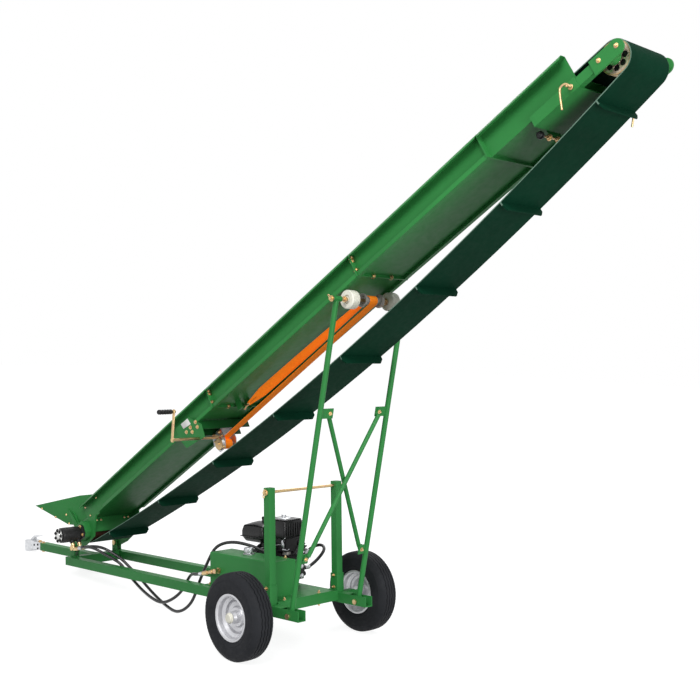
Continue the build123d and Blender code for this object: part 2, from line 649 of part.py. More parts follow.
def belt():
    half = BELT_W / 2
    band = extrude(loop_face(BELT_T, -half), amount=BELT_W, dir=(0, 1, 0))
    band -= extrude(loop_face(0, -half - 1), amount=BELT_W + 2, dir=(0, 1, 0))
    cleats = []
    for x, z, nx, nz in cleat_places():
        turn = math.degrees(math.atan2(nx, nz))
        cut = CLEAT_H - CLEAT_CORNER
        sides = [(-half, -1), (half, -1), (half, cut), (half - CLEAT_CORNER, CLEAT_H), (CLEAT_CORNER - half, CLEAT_H),
                 (-half, cut)]
        cleat = plate_x(sides, -CLEAT_T / 2, CLEAT_T / 2)
        cleats.append(Pos(x, 0, z) * Rot(0, turn, 0) * cleat)
    for cleat in cleats:
        band += cleat
    add("belt", band, CONVEYOR)


TAKEUP_X = (HEAD[0] + 396.0, HEAD[0] + 158.0)
TAKEUP_Y = (WALL_Y - 7.0, WALL_Y + 33.0)
TAKEUP_Z = (WALL_Z0 - 48.0, WALL_Z0)
TAKEUP_T = 4.0
ARM_GAP = 0.2


def head():
    hx, hz = HEAD
    face = BELT_W / 2 - 2
    drum = ring_y([(HEAD_R, face), (HEAD_R, -face), (HEAD_R - 5, -face), (HEAD_R - 5, face)])
    ring = (HEAD_R - 5 + SHAFT_R) / 2
    for s in (1, -1):
        y0, y1 = sorted((s * (face - 10), s * (face - 5)))
        disc = rod_y(0, 0, HEAD_R - 5, y0, y1)
        for i in range(DISC_HOLES):
            a = 2 * math.pi * i / DISC_HOLES
            disc -= rod_y(ring * math.cos(a), ring * math.sin(a), DISC_HOLE_R, -face, face)
        drum += disc
    drum += rod_y(0, 0, SHAFT_R, -face - 34, face + 34)
    add("head_drum", Pos(hx, 0, hz) * drum, CONVEYOR)
    y0, y1 = TAKEUP_Y
    z0, z1 = TAKEUP_Z
    x1, x0 = TAKEUP_X
    t = TAKEUP_T
    tube = box_at(x0, x1, y0, y1, z0, z1) - box_at(x0 - 1, x1 + 1, y0 + t, y1 - t, z0 + t, z1 - t)
    pan = box_at(x0, x1, -y0, y0, z0, z0 + SHEET)
    add("takeup_tubes", both(tube) + pan, CONVEYOR)
    g = t + ARM_GAP
    a0 = hx + 42
    a1 = hx + 286
    arm = box_at(a0, a1, y0 + g, y1 - g, z0 + g, z1 - g)
    arm -= box_at(a0 - 6, a1 + 6, y0 + g + 3, y1 - g - 3, z0 + g + 3, z1 - g - 3)
    out = y1 - g
    end = box_at(hx - 40, hx + 80, out, out + 8, hz - 30, hz + 34)
    end += rod_y(hx - 40, hz + 2, 32, out, out + 8)
    housing = rod_y(hx, hz, 31, y0 + 2, out) - rod_y(hx, hz, SHAFT_R + 0.1, 0, face + 36)
    add("takeup_arms", both(arm + end + housing), CONVEYOR)
    clamp_x = hx + 176
    stem = rod_y(clamp_x, (z0 + z1) / 2, 7, y1, y1 + 34)
    stem += rod_y(clamp_x, (z0 + z1) / 2, 12, y1, y1 + 9)
    grip = Pos(clamp_x, y1 + 34, (z0 + z1) / 2) * Rot(0, -SLOPE + 4, 0) * Pos(0, 0, -36) * Cylinder(6, 84)
    add("clamp_handles", both(stem + grip), CONVEYOR)


WINCH_X = -1509.0
WINCH_Z = -17.0


def winch():
    beam = box_at(WINCH_X - 45, WINCH_X + 45, -LIP_Y, LIP_Y, WALL_Z0 - 50, WALL_Z0)
    beam -= box_at(WINCH_X - 41, WINCH_X + 41, -LIP_Y - 1, LIP_Y + 1, WALL_Z0 - 51, WALL_Z0 - 4)
    add("winch_beam", beam, CONVEYOR)
    outline = [(-1350, 128), (-1350, 60), (-1385, -12), (-1560, -34), (-1566, 40), (-1480, 128)]
    plate = plate_y(outline, LIP_Y, LIP_Y + 4) - rod_y(WINCH_X, WINCH_Z, 9, 0, 300)
    add("winch_plate", plate, CONVEYOR)
    z1 = WALL_Z0 - 50
    cheek = [(WINCH_X - 44, z1), (WINCH_X + 44, z1), (WINCH_X + 52, -40), (WINCH_X + 24, -96), (WINCH_X - 30, -96),
             (WINCH_X - 52, -50)]
    body = plate_y(cheek, 36, 40) + plate_y(cheek, -40, -36)
    body += box_at(WINCH_X - 44, WINCH_X + 44, -36, 36, z1 - 4, z1)
    body += rod_y(DRUM[0], DRUM[1], DRUM_R, -36, 36)
    body -= rod_y(WINCH_X, WINCH_Z, 8, -60, 60)
    body += rod_y(DRUM[0], DRUM[1], 32, 40, 48)
    add("winch", body, CONVEYOR)
    crank = rod_y(WINCH_X, WINCH_Z, 7.5, -44, 343)
    arm_len = 150
    lift = Rot(0, -SLOPE - 6, 0)
    arm = lift * box_at(-10, 10, 0, 6, -10, arm_len + 10)
    grip = lift * (Pos(0, 68, arm_len) * Rot(90, 0, 0) * Cylinder(13, 112))
    knob = lift * (Pos(0, 9, arm_len) * Rot(90, 0, 0) * Cylinder(7, 18))
    crank += Pos(WINCH_X, 337, WINCH_Z) * (arm + grip + knob)
    add("winch_crank", crank, CONVEYOR)


# Lift legs
FLOOR_TO_AXLE = WALL_Z0 - ROLLER_R - ROLLER_GAP
TOP_X = HINGE_X + ROLLER_X * math.cos(math.radians(SLOPE)) + FLOOR_TO_AXLE * math.sin(math.radians(SLOPE))
TOP_Z = HINGE_Z - ROLLER_X * math.sin(math.radians(SLOPE)) + FLOOR_TO_AXLE * math.cos(math.radians(SLOPE))
LEG_LEN = math.hypot(TOP_X - FOOT_X, TOP_Z - FOOT_Z)
LEG_LEAN = math.degrees(math.atan2(FOOT_X - TOP_X, TOP_Z - FOOT_Z))
LEGS = Pos(FOOT_X, 0, FOOT_Z) * Rot(0, -LEG_LEAN, 0)


def leg():
    y = ARM_Y
    tube = rod_z(0, y, LEG_R, 0, LEG_LEN) - rod_z(0, y, LEG_R - LEG_T, 14, LEG_LEN - 14)
    eye = rod_y(0, 0, FOOT_EYE_R, y - 15, y + 15)
    top = rod_y(0, LEG_LEN, 14, y - 26, y + 24)
    tabs = []
    for ty, tz in (BRACE_UP, BRACE_LOW):
        tabs.append(box_at(-2.5, 2.5, ty - 20, y - LEG_R + 3, tz - 24, tz + 24))
    body = tube + eye + top
    for tab in tabs:
        body += tab
    body -= rod_z(0, y, LEG_R - LEG_T, 16, LEG_LEN - 16)
    body -= rod_y(0, 0, FOOT_R + FIT, 0, 400)
    return body - rod_y(0, LEG_LEN, LEG_AXLE_R + 0.1, 0, 400)


def brace(side):
    uy, uz = BRACE_UP
    ly, lz = BRACE_LOW
    length = math.hypot(uy + ly, uz - lz)
    angle = math.degrees(math.atan2(uy + ly, uz - lz))
    off = 2.5 + BRACE_R
    bar = rod_z(off, 0, BRACE_R, 16, length - 16) - rod_z(off, 0, BRACE_R - 2, 10, length - 10)
    for z0, z1 in ((-18, 22), (length - 22, length + 18)):
        bar += box_at(2.5, 8.5, -15, 15, z0, z1)
    bar += rod_x(0, 0, 5, -9, 14) + rod_x(0, length, 5, -9, 14)
    bar = bar - rod_x(0, 0, 5, -9, 2.5) - rod_x(0, length, 5, -9, 2.5)
    turned = Pos(0, -ly, lz) * Rot(-angle, 0, 0) * bar
    if side < 0:
        turned = turned.mirror(Plane.XZ).mirror(Plane.YZ)
    return turned


def legs():
    one = leg()
    add("leg_left", one, LEGS)
    add("leg_right", right(one), LEGS)
    add("leg_braces", brace(1) + brace(-1), LEGS)
    axle = rod_y(0, LEG_LEN, LEG_AXLE_R, -ARM_Y - 42, ARM_Y + 42)
    add("leg_axle", axle, LEGS)
    roller = ring_y([(LEG_AXLE_R + FIT, -30), (ROLLER_R - 4, -30), (ROLLER_R, -26), (ROLLER_R, 26), (ROLLER_R - 4, 30),
                     (20, 30), (20, 22), (LEG_AXLE_R + FIT, 22)])
    add("lift_rollers", both(Pos(0, ROLLER_Y, LEG_LEN) * roller), LEGS)
    spool = ring_y([(LEG_AXLE_R, -60), (33, -60), (33, -52), (SPOOL_R, -52), (SPOOL_R, 52), (33, 52), (33, 60),
                    (LEG_AXLE_R, 60)])
    add("strap_spool", Pos(0, 0, LEG_LEN) * spool, LEGS)


# Lift strap: off the winch drum, round the spool on the leg axle and back to the anchor pin
def tangent_normal(centre, other, reach, side):
    dx = other[0] - centre[0]
    dz = other[1] - centre[1]
    length = math.hypot(dx, dz)
    c = reach / length
    s = side * math.sqrt(1 - c * c)
    return Vector((dx * c - dz * s) / length, 0, (dz * c + dx * s) / length)


def strap_run(a, b, normal):
    half = normal * (STRAP_T / 2)
    corners = [a + half, b + half, b - half, a - half]
    return plate_y([(v.X, v.Z) for v in corners], -STRAP_W / 2, STRAP_W / 2)


def strap():
    spool = Vector(ROLLER_X, 0, FLOOR_TO_AXLE)
    drum = Vector(DRUM[0], 0, DRUM[1])
    pin = Vector(ANCHOR[0], 0, ANCHOR[1])
    wrap_r = SPOOL_R + STRAP_SEAT + STRAP_T / 2
    coil_mid = COIL_R - STRAP_T / 2
    low = tangent_normal((ROLLER_X, FLOOR_TO_AXLE), DRUM, wrap_r + coil_mid, -1)
    up = tangent_normal((ROLLER_X, FLOOR_TO_AXLE), ANCHOR, wrap_r, 1)
    band = strap_run(spool + low * wrap_r, drum - low * coil_mid, low)
    band += strap_run(spool + up * wrap_r, pin, up)
    side = Vector(0, -STRAP_W / 2, 0)
    away = Vector(-1, 0, 0)
    rims = []
    for r in (wrap_r - STRAP_T / 2, wrap_r + STRAP_T / 2):
        rims.append([spool + side + n * r for n in (low, away, up)])
    inner, outer = rims
    edges = [ThreePointArc(*outer), Line(outer[2], inner[2]), ThreePointArc(*reversed(inner)), Line(inner[0], outer[0])]
    band += extrude(make_face(Wire(edges)), amount=STRAP_W, dir=(0, 1, 0))
    half = STRAP_W / 2
    band += rod_y(pin.X, pin.Z, ANCHOR_R + STRAP_SEAT + STRAP_T, -half, half)
    band -= rod_y(pin.X, pin.Z, ANCHOR_R + STRAP_SEAT, -half - 1, half + 1)
    band += rod_y(drum.X, drum.Z, COIL_R, -half, half)
    band -= rod_y(drum.X, drum.Z, DRUM_R + STRAP_SEAT, -half - 1, half + 1)
    add("lift_strap", band, CONVEYOR)


# Hoses, in the level frame
def motor_port(y):
    turn = math.radians(PORT_TURN)
    reach = Vector(-math.cos(turn), 0, -math.sin(turn))
    elbow = Vector(TAIL[0], y, TAIL[1] - PORT_DROP)
    slope = Rot(0, SLOPE, 0)
    start = CONVEYOR * Pos(*(elbow + reach * (PORT_REACH + HOSE_SEAT)))
    way = slope * Pos(*reach)
    return start.position, way.position


TANK_PORT = (484.0, DECK_Z + 84.0)
TANK_PORT_Y = TANK_Y[1] + 22.0
TANK_PORT_DIP = 13.0
TANK_PORT_REACH = 112.0
VALVE_PORT = (135.0, -26.0, DECK_Z + 125.0)
LOOP_VALVE = (85.0, -84.0, DECK_Z + 115.0)
LOOP_PUMP = (206.0, ENGINE_Y - 23.0, CRANK_Z + 28.5)
LOOP_PUMP_TURN = 53.13
VALVE_Z0 = DECK_Z + 67.0
VALVE_Z1 = VALVE_Z0 + 78.0
LOOP_PUMP_REACH = 35.0


def tank_port():
    dip = math.radians(TANK_PORT_DIP)
    way = Vector(math.cos(dip), 0, -math.sin(dip))
    return Vector(TANK_PORT[0], TANK_PORT_Y, TANK_PORT[1]) + way * (TANK_PORT_REACH + HOSE_SEAT), way


def tank_fitting():
    x, z = TANK_PORT
    y0 = TANK_Y[1]
    body = rod_y(x, z, 15, y0, y0 + 8) + rod_y(x, z, 9, y0, TANK_PORT_Y - 10)
    body += box_at(x - 11, x + 11, TANK_PORT_Y - 11, TANK_PORT_Y + 11, z - 11, z + 11)
    outlet = rod_x(0, 0, 9, 0, TANK_PORT_REACH) + rod_x(0, 0, 12, 24, 42)
    outlet += rod_x(0, 0, 12, TANK_PORT_REACH - 44, TANK_PORT_REACH)
    add("tank_fitting", body + Pos(x, TANK_PORT_Y, z) * Rot(0, TANK_PORT_DIP, 0) * outlet)


# Points down from the motor's fittings: x forward, y left, z up
PRESSURE_RUN = [(1564, 200, 349), (1512, 164, 318), (1468, 126, 280), (1425, 98, 232), (1324, 90, 176),
                (1199, 106, 126), (1055, 136, 92), (938, 160, 73), (868, 172, 67), (816, 172, 75), (775, 163, 97),
                (745, 150, 130), (726, 140, 171), (712, 132, 216), (694, 125, 262), (663, 118, 322), (622, 116, 384),
                (588, 106, 438), (536, 88, 466), (478, 62, 474), (425, 34, 466), (375, 8, 452), (325, -14, 432),
                (268, -25, 405), (205, -26, 376)]
RETURN_RUN = [(1585, 262, 355), (1540, 240, 338), (1513, 206, 310), (1490, 171, 285), (1458, 141, 257),
              (1412, 132, 214), (1340, 133, 175), (1233, 150, 139), (1089, 172, 107), (983, 178, 96), (901, 164, 127),
              (850, 141, 172), (812, 138, 221), (777, 139, 264), (733, 151, 287)]
LOOP_RUN = [(85, -114, 366), (85, -148, 380), (87, -182, 398), (90, -214, 420), (98, -237, 437), (119, -254, 450),
            (148, -260, 455), (177, -254, 450), (198, -237, 437), (206, -214, 420)]


def route(points):
    return [Vector(x, y, z + ROUTE_RISE) for x, y, z in points]


def hose(name, points):
    ways = [(b - a).normalized() for a, b in zip(points, points[1:])]
    runs = [(b - a).length for a, b in zip(points, points[1:])]
    radii = []
    for i in range(len(ways) - 1):
        half = math.radians(ways[i].get_angle(ways[i + 1])) / 2
        radii.append(0.45 * min(runs[i], runs[i + 1]) / math.tan(half))
    path = FilletPolyline(*points, radius=radii)
    tube = sweep(Plane(origin=path @ 0, z_dir=path % 0) * Circle(HOSE_R), path)
    share = tube.volume / (math.pi * HOSE_R ** 2 * path.length)
    print(name, "length", round(path.length), "volume share", round(share, 4), "radii", [round(r) for r in radii])
    add(name, tube)


def hoses():
    tank_fitting()
    tank_end, tank_way = tank_port()
    start, way = motor_port(PORT_Y[0])
    points = [start, start + way * 70] + route(PRESSURE_RUN)
    hose("hose_pressure", points + [Vector(VALVE_PORT[0] + HOSE_SEAT, VALVE_PORT[1], VALVE_PORT[2])])
    start, way = motor_port(PORT_Y[1])
    points = [start, start + way * 60] + route(RETURN_RUN)
    hose("hose_return", points + [tank_end + tank_way * 60, tank_end])
    first = Vector(LOOP_VALVE[0], LOOP_VALVE[1] - HOSE_SEAT, LOOP_VALVE[2])
    turn = math.radians(LOOP_PUMP_TURN)
    last = Vector(*LOOP_PUMP) + Vector(0, -math.sin(turn), math.cos(turn)) * (LOOP_PUMP_REACH + HOSE_SEAT)
    hose("hose_loop", [first] + route(LOOP_RUN) + [last])


# Assembly, set nose down on the coupler
def settle():
    x = BALL_X + NOSE_R
    drop = COUPLER_Z0 - AXLE_Z
    reach = math.hypot(x, drop)
    return math.degrees(math.asin(AXLE_Z / reach) + math.atan2(drop, x))


NOSE_DOWN = settle()


def build():
    frame()
    frame_joints()
    coupler()
    posts()
    wheels()
    tank()
    engine()
    control_valve()
    trough()
    tail()
    hopper()
    belt()
    head()
    winch()
    legs()
    strap()
    hoses()
    lean = Pos(0, 0, AXLE_Z) * Rot(0, NOSE_DOWN, 0) * Pos(0, 0, -AXLE_Z)
    placed = {name: lean * shape for name, shape in PARTS.items()}
    boxes = [shape.bounding_box() for shape in placed.values()]
    mid = (min(b.min.X for b in boxes) + max(b.max.X for b in boxes)) / 2
    return {name: Pos(-mid, 0, 0) * shape for name, shape in placed.items()}, mid


def main():
    os.makedirs("parts", exist_ok=True)
    placed, mid = build()
    print("nose down", round(NOSE_DOWN, 5), "middle", round(mid, 4), "leg lean", round(LEG_LEAN, 4))
    for name, shape in placed.items():
        export_step(shape, "parts/%s.step" % name)


if __name__ == "__main__":
    main()
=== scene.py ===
import json
import math
import bpy
import bmesh
from mathutils import Matrix, Vector


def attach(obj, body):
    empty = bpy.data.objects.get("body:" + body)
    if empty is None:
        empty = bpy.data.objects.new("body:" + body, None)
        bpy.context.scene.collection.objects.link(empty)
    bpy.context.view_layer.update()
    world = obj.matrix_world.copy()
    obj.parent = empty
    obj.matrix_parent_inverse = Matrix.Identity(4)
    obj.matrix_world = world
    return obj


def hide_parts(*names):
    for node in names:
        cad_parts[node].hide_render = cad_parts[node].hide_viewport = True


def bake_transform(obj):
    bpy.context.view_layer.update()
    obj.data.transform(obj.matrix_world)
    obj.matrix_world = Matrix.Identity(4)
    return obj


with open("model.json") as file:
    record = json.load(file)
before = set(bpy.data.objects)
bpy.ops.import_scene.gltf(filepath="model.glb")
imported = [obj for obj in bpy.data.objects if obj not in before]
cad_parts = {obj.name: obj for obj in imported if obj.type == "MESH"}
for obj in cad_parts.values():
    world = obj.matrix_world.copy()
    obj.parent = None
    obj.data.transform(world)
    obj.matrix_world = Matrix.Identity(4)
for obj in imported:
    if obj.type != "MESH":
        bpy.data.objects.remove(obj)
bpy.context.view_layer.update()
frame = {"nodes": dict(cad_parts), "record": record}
nodes = frame["nodes"]

# Pieces are drawn in millimetres beside level rails, then put nose down with the rest of the machine
stance = {"noseDown": 3.55944, "middle": 501.9504, "axleHeight": 210.0, "track": 418, "slope": 29.3,
          "hinge": (1965, 0, 300), "foot": (-163, 0, 206), "legLean": 12.6594, "legLength": 1534.899}
shift = Matrix.Translation
up = (0, 0, 1)
down = (0, 0, -1)
left = (0, 1, 0)
right = (0, -1, 0)
back = (-1, 0, 0)  # also up the slope
forward = (1, 0, 0)


def turnY(angle):
    return Matrix.Rotation(math.radians(angle), 4, "Y")


axleUp = Vector((0, 0, stance["axleHeight"]))
level = (Matrix.Scale(0.001, 4) @ shift(axleUp - Vector((stance["middle"], 0, 0)))
         @ turnY(stance["noseDown"]) @ shift(-axleUp))
slope = level @ shift(stance["hinge"]) @ turnY(stance["slope"])
leg = level @ shift(stance["foot"]) @ turnY(-stance["legLean"])
places = {"frame": level, "conveyor": slope, "lift_legs": leg, "rollers": leg}


# Camera, where the photograph was taken from
cameraView = {"spot": (-4046.98, 3630.63, 1339.46), "ahead": (0.71278868, -0.70089882, 0.02594501),
              "up": (-0.02701311, 0.00953022, 0.99958965), "focalPixels": 1071.848, "imagePixels": 700,
              "sensor": 36, "farClip": 200}


def placeCamera():
    lens = bpy.data.cameras.new("photoCamera")
    camera = bpy.data.objects.new("photoCamera", lens)
    bpy.context.collection.objects.link(camera)
    turn = turnY(stance["noseDown"]).to_3x3()
    ahead = turn @ Vector(cameraView["ahead"])
    top = turn @ Vector(cameraView["up"])
    camera.matrix_world = Matrix((ahead.cross(top), top, -ahead)).transposed().to_4x4()
    camera.location = level @ Vector(cameraView["spot"])
    lens.sensor_width = cameraView["sensor"]
    lens.lens = cameraView["focalPixels"] / cameraView["imagePixels"] * cameraView["sensor"]
    lens.clip_end = cameraView["farClip"]
    bpy.context.scene.camera = camera


placeCamera()
print("camera placed")


# Finishes, all on Object coordinates in metres
class Finish:
    def __init__(self, name, rough, metal=0.0):
        self.material = bpy.data.materials.new(name)
        self.material.use_nodes = True
        self.tree = self.material.node_tree
        self.shader = self.tree.nodes["Principled BSDF"]
        self.constant("Metallic", metal)
        self.constant("Roughness", rough)
        self.spot = self.tree.nodes.new("ShaderNodeTexCoord").outputs["Object"]
        self.normal = None

    def constant(self, socket, value):
        self.shader.inputs[socket].default_value = value

    def link(self, a, b):
        self.tree.links.new(a, b)

    def turnSpot(self, angle):
        node = self.tree.nodes.new("ShaderNodeMapping")
        node.inputs["Rotation"].default_value = (0, math.radians(angle), 0)
        self.link(self.spot, node.inputs["Vector"])
        return node.outputs["Vector"]

    def noise(self, scale, detail=3.0, rough=0.55):
        node = self.tree.nodes.new("ShaderNodeTexNoise")
        node.inputs["Scale"].default_value = scale
        node.inputs["Detail"].default_value = detail
        node.inputs["Roughness"].default_value = rough
        self.link(self.spot, node.inputs["Vector"])
        return node.outputs["Fac"]

    def wave(self, scale, direction, spot, distortion=0.0):
        node = self.tree.nodes.new("ShaderNodeTexWave")
        node.bands_direction = direction
        node.inputs["Scale"].default_value = scale
        node.inputs["Distortion"].default_value = distortion
        self.link(spot, node.inputs["Vector"])
        return node.outputs["Fac"]

    def ramp(self, fac, *stops):
        node = self.tree.nodes.new("ShaderNodeValToRGB")
        marks = node.color_ramp.elements
        while len(marks) < len(stops):
            marks.new(0.5)
        for mark, (at, colour) in zip(marks, stops):
            mark.position = at
            mark.color = (*colour, 1) if hasattr(colour, "__len__") else (colour, colour, colour, 1)
        self.link(fac, node.inputs["Fac"])
        return node.outputs["Color"]

    def over(self, fac, under, top):
        node = self.tree.nodes.new("ShaderNodeMix")
        node.data_type = "RGBA"
        self.link(fac, node.inputs["Factor"])
        self.link(under, node.inputs["A"])
        node.inputs["B"].default_value = (*top, 1)
        return node.outputs["Result"]

    def bump(self, height, strength, depth):
        node = self.tree.nodes.new("ShaderNodeBump")
        node.inputs["Strength"].default_value = strength
        node.inputs["Distance"].default_value = depth
        self.link(height, node.inputs["Height"])
        if self.normal:
            self.link(self.normal, node.inputs["Normal"])
        self.normal = node.outputs["Normal"]

    def roundEdges(self, radius):
        node = self.tree.nodes.new("ShaderNodeBevel")
        node.samples = 4
        node.inputs["Radius"].default_value = radius
        self.normal = node.outputs["Normal"]

    def colour(self, socket):
        self.link(socket, self.shader.inputs["Base Color"])

    def roughness(self, fac, low, high):
        self.link(self.ramp(fac, (0.25, low), (0.75, high)), self.shader.inputs["Roughness"])

    def done(self):
        if self.normal:
            self.link(self.normal, self.shader.inputs["Normal"])
        return self.material


def shaded(colour, share):
    return tuple(c * share for c in colour)


def paintedSteel(name, colour, dust):
    f = Finish(name, 0.35)
    f.roundEdges(0.0016)
    body = f.ramp(f.noise(2.2, 4), (0.3, shaded(colour, 0.9)), (0.7, shaded(colour, 1.1)))
    f.colour(f.over(f.ramp(f.noise(14, 6, rough=0.7), (0.58, 0.0), (0.88, 0.1)), body, dust))
    f.roughness(f.noise(35, 5), 0.4, 0.56)
    f.bump(f.noise(420, 2), 0.12, 0.0006)
    f.bump(f.noise(5, 2), 0.15, 0.004)
    f.constant("Specular IOR Level", 0.16)
    f.constant("Coat Weight", 0.04)
    f.constant("Coat Roughness", 0.1)
    return f.done()


def platedSteel(name, light, warm, pink, rough, stain=0.4):
    f = Finish(name, rough, 1.0)
    f.roundEdges(0.0006)
    body = f.ramp(f.noise(60, 4), (0.3, light), (0.52, warm), (0.72, pink))
    f.colour(f.over(f.ramp(f.noise(220, 4), (0.6, 0.0), (0.8, stain)), body, shaded(warm, 0.55)))
    f.roughness(f.noise(140, 4), rough - 0.08, rough + 0.14)
    f.bump(f.noise(700, 2), 0.15, 0.0003)
    return f.done()


def castOrMoulded(name, colour, rough, grain, depth, metal=0.0):
    f = Finish(name, rough, metal)
    f.roundEdges(0.0012)
    body = f.ramp(f.noise(9, 4), (0.3, shaded(colour, 0.8)), (0.7, shaded(colour, 1.25)))
    f.colour(f.over(f.ramp(f.noise(45, 5), (0.6, 0.0), (0.9, 0.1)), body, (0.1, 0.095, 0.085)))
    f.roughness(f.noise(60, 4), rough - 0.08, rough + 0.1)
    f.bump(f.noise(grain, 3), 0.3, depth)
    f.constant("Specular IOR Level", 0.28)
    return f.done()


def tyreRubber():
    f = Finish("tyreRubber", 0.72)
    body = f.ramp(f.noise(7, 4), (0.3, (0.011, 0.012, 0.014)), (0.7, (0.018, 0.019, 0.022)))
    f.colour(f.over(f.ramp(f.noise(30, 6), (0.58, 0.0), (0.85, 0.12)), body, (0.07, 0.068, 0.062)))
    f.roughness(f.noise(50, 4), 0.55, 0.8)
    f.bump(f.noise(500, 3), 0.25, 0.0006)
    f.constant("Specular IOR Level", 0.14)
    return f.done()


def rimSilver():
    f = Finish("rimSilver", 0.38, 0.55)
    f.roundEdges(0.0015)
    body = f.ramp(f.noise(12, 4), (0.3, (0.5, 0.5, 0.52)), (0.7, (0.66, 0.66, 0.68)))
    f.colour(f.over(f.ramp(f.noise(55, 6), (0.6, 0.0), (0.85, 0.3)), body, (0.3, 0.29, 0.27)))
    f.roughness(f.noise(90, 4), 0.28, 0.46)
    f.bump(f.noise(900, 2), 0.2, 0.0003)
    return f.done()


beltEdge = {"from": 0.1369, "to": 0.1377, "colour": (0.4, 0.6, 0.48)}  # a pale band along both edges of the belt


def beltRubber():
    f = Finish("beltRubber", 0.5)
    along = f.turnSpot(-(stance["slope"] + stance["noseDown"]))
    body = f.ramp(f.noise(3.5, 5), (0.3, (0.0015, 0.02, 0.0095)), (0.7, (0.0022, 0.03, 0.0145)))
    body = f.over(f.ramp(f.noise(26, 6), (0.62, 0.0), (0.9, 0.15)), body, (0.008, 0.035, 0.02))
    across = f.tree.nodes.new("ShaderNodeSeparateXYZ")
    f.link(f.spot, across.inputs["Vector"])
    edge = f.tree.nodes.new("ShaderNodeMath")
    edge.operation = "ABSOLUTE"
    f.link(across.outputs["Y"], edge.inputs[0])
    cut = f.ramp(edge.outputs["Value"], (beltEdge["from"], 0.0), (beltEdge["to"], 0.9))
    f.colour(f.over(cut, body, beltEdge["colour"]))
    f.roughness(f.noise(40, 4), 0.62, 0.76)
    f.bump(f.wave(160, "X", along), 0.08, 0.0004)
    f.bump(f.wave(160, "Y", along), 0.08, 0.0004)
    f.constant("Specular IOR Level", 0.04)
    return f.done()


def strapWebbing():
    f = Finish("strapWebbing", 0.7)
    along = f.turnSpot(-(stance["slope"] + stance["noseDown"]))
    weft = f.wave(150, "X", along, 0.6)
    warp = f.wave(58, "Y", along)
    body = f.ramp(weft, (0.1, (0.9, 0.19, 0.012)), (0.6, (1.0, 0.3, 0.02)))
    f.colour(f.over(f.ramp(f.noise(9, 5), (0.5, 0.0), (0.9, 0.25)), body, (0.8, 0.17, 0.012)))
    f.bump(weft, 0.35, 0.0006)
    f.bump(warp, 0.5, 0.001)
    f.constant("Specular IOR Level", 0.15)
    f.constant("Emission Color", (1.0, 0.22, 0.01, 1))  # painted glow, brightening the strap where it lies in shade
    f.constant("Emission Strength", 0.3)
    return f.done()


def nylonTurned():
    f = Finish("nylonTurned", 0.45)
    body = f.ramp(f.noise(30, 4), (0.3, (0.62, 0.61, 0.52)), (0.7, (0.76, 0.75, 0.66)))
    f.colour(f.over(f.ramp(f.noise(80, 6), (0.55, 0.0), (0.85, 0.35)), body, (0.3, 0.28, 0.22)))
    f.bump(f.noise(300, 3), 0.2, 0.0004)
    return f.done()


def hoseRubber():
    f = Finish("hoseRubber", 0.42)
    f.colour(f.ramp(f.noise(40, 4), (0.3, (0.008, 0.008, 0.009)), (0.7, (0.016, 0.016, 0.017))))
    f.bump(f.noise(900, 2), 0.3, 0.0005)
    f.roughness(f.noise(80, 3), 0.22, 0.36)
    return f.done()


# The first twelve are the record's slots, the rest are finishes of single pieces
finishes = {
    "green_paint": paintedSteel("greenPaint", (0.025, 0.185, 0.042), (0.075, 0.2, 0.08)),
    "zinc": platedSteel("yellowZinc", (0.7, 0.56, 0.3), (0.62, 0.43, 0.22), (0.58, 0.35, 0.25), 0.34),
    "tyre": tyreRubber(),
    "rim": rimSilver(),
    "cast_black": castOrMoulded("castBlack", (0.009, 0.009, 0.0095), 0.42, 260, 0.001),
    "black_paint": castOrMoulded("blackPaint", (0.006, 0.006, 0.0065), 0.26, 420, 0.0003),
    "black_plastic": castOrMoulded("blackPlastic", (0.008, 0.008, 0.0085), 0.42, 700, 0.0005),
    "chrome": platedSteel("chromePlate", (0.86, 0.86, 0.87), (0.8, 0.8, 0.82), (0.74, 0.74, 0.76), 0.2, 0.1),
    "belt_rubber": beltRubber(),
    "nylon": nylonTurned(),
    "webbing": strapWebbing(),
    "hose": hoseRubber(),
    "brightZinc": platedSteel("brightZinc", (0.6, 0.61, 0.62), (0.5, 0.51, 0.53), (0.42, 0.42, 0.44),
                              0.34, 0.3),
    "greyCast": castOrMoulded("greyCast", (0.3, 0.29, 0.27), 0.5, 240, 0.0012, 0.3),
    "gearRed": castOrMoulded("gearRed", (0.5, 0.03, 0.015), 0.4, 300, 0.0005),
    "creamCap": castOrMoulded("creamCap", (0.72, 0.7, 0.6), 0.45, 400, 0.0004),
    "pinkZinc": platedSteel("pinkZinc", (0.86, 0.72, 0.58), (0.8, 0.6, 0.5), (0.78, 0.52, 0.48), 0.36),
    "galvanised": platedSteel("galvanised", (0.72, 0.73, 0.74), (0.63, 0.64, 0.66), (0.54, 0.55, 0.57),
                              0.34, 0.3),
    "machinedFace": castOrMoulded("machinedFace", (0.72, 0.72, 0.7), 0.35, 500, 0.0003, 0.4),
    # Darker copy of the green paint: painted shade for the winch beam, which lies in shadow under the trough
    "paintedShadeGreen": paintedSteel("paintedShadeGreen", (0.006, 0.07, 0.014), (0.02, 0.07, 0.025)),
    "finGrey": castOrMoulded("finGrey", (0.06, 0.06, 0.062), 0.4, 240, 0.0008, 0.5),
    "rustyDrum": castOrMoulded("rustyDrum", (0.045, 0.017, 0.008), 0.6, 180, 0.001),
    "paleLabel": castOrMoulded("paleLabel", (0.72, 0.72, 0.7), 0.45, 500, 0.0002),
    "darkThread": castOrMoulded("darkThread", (0.05, 0.03, 0.02), 0.8, 800, 0.0004),
}
# The winch beam takes the darker green copy, which is painted shade
nodeFinish = {"coupler_body": "galvanised", "coupler_latch": "galvanised", "winch": "brightZinc",
              "filler_cap": "brightZinc", "drive_drum": "rustyDrum", "winch_beam": "paintedShadeGreen"}
for part in frame["record"]["subparts"]:
    node = nodes[part["node"]]
    node.data.materials.clear()
    node.data.materials.append(finishes[nodeFinish.get(part["node"], part["material_slot"])])
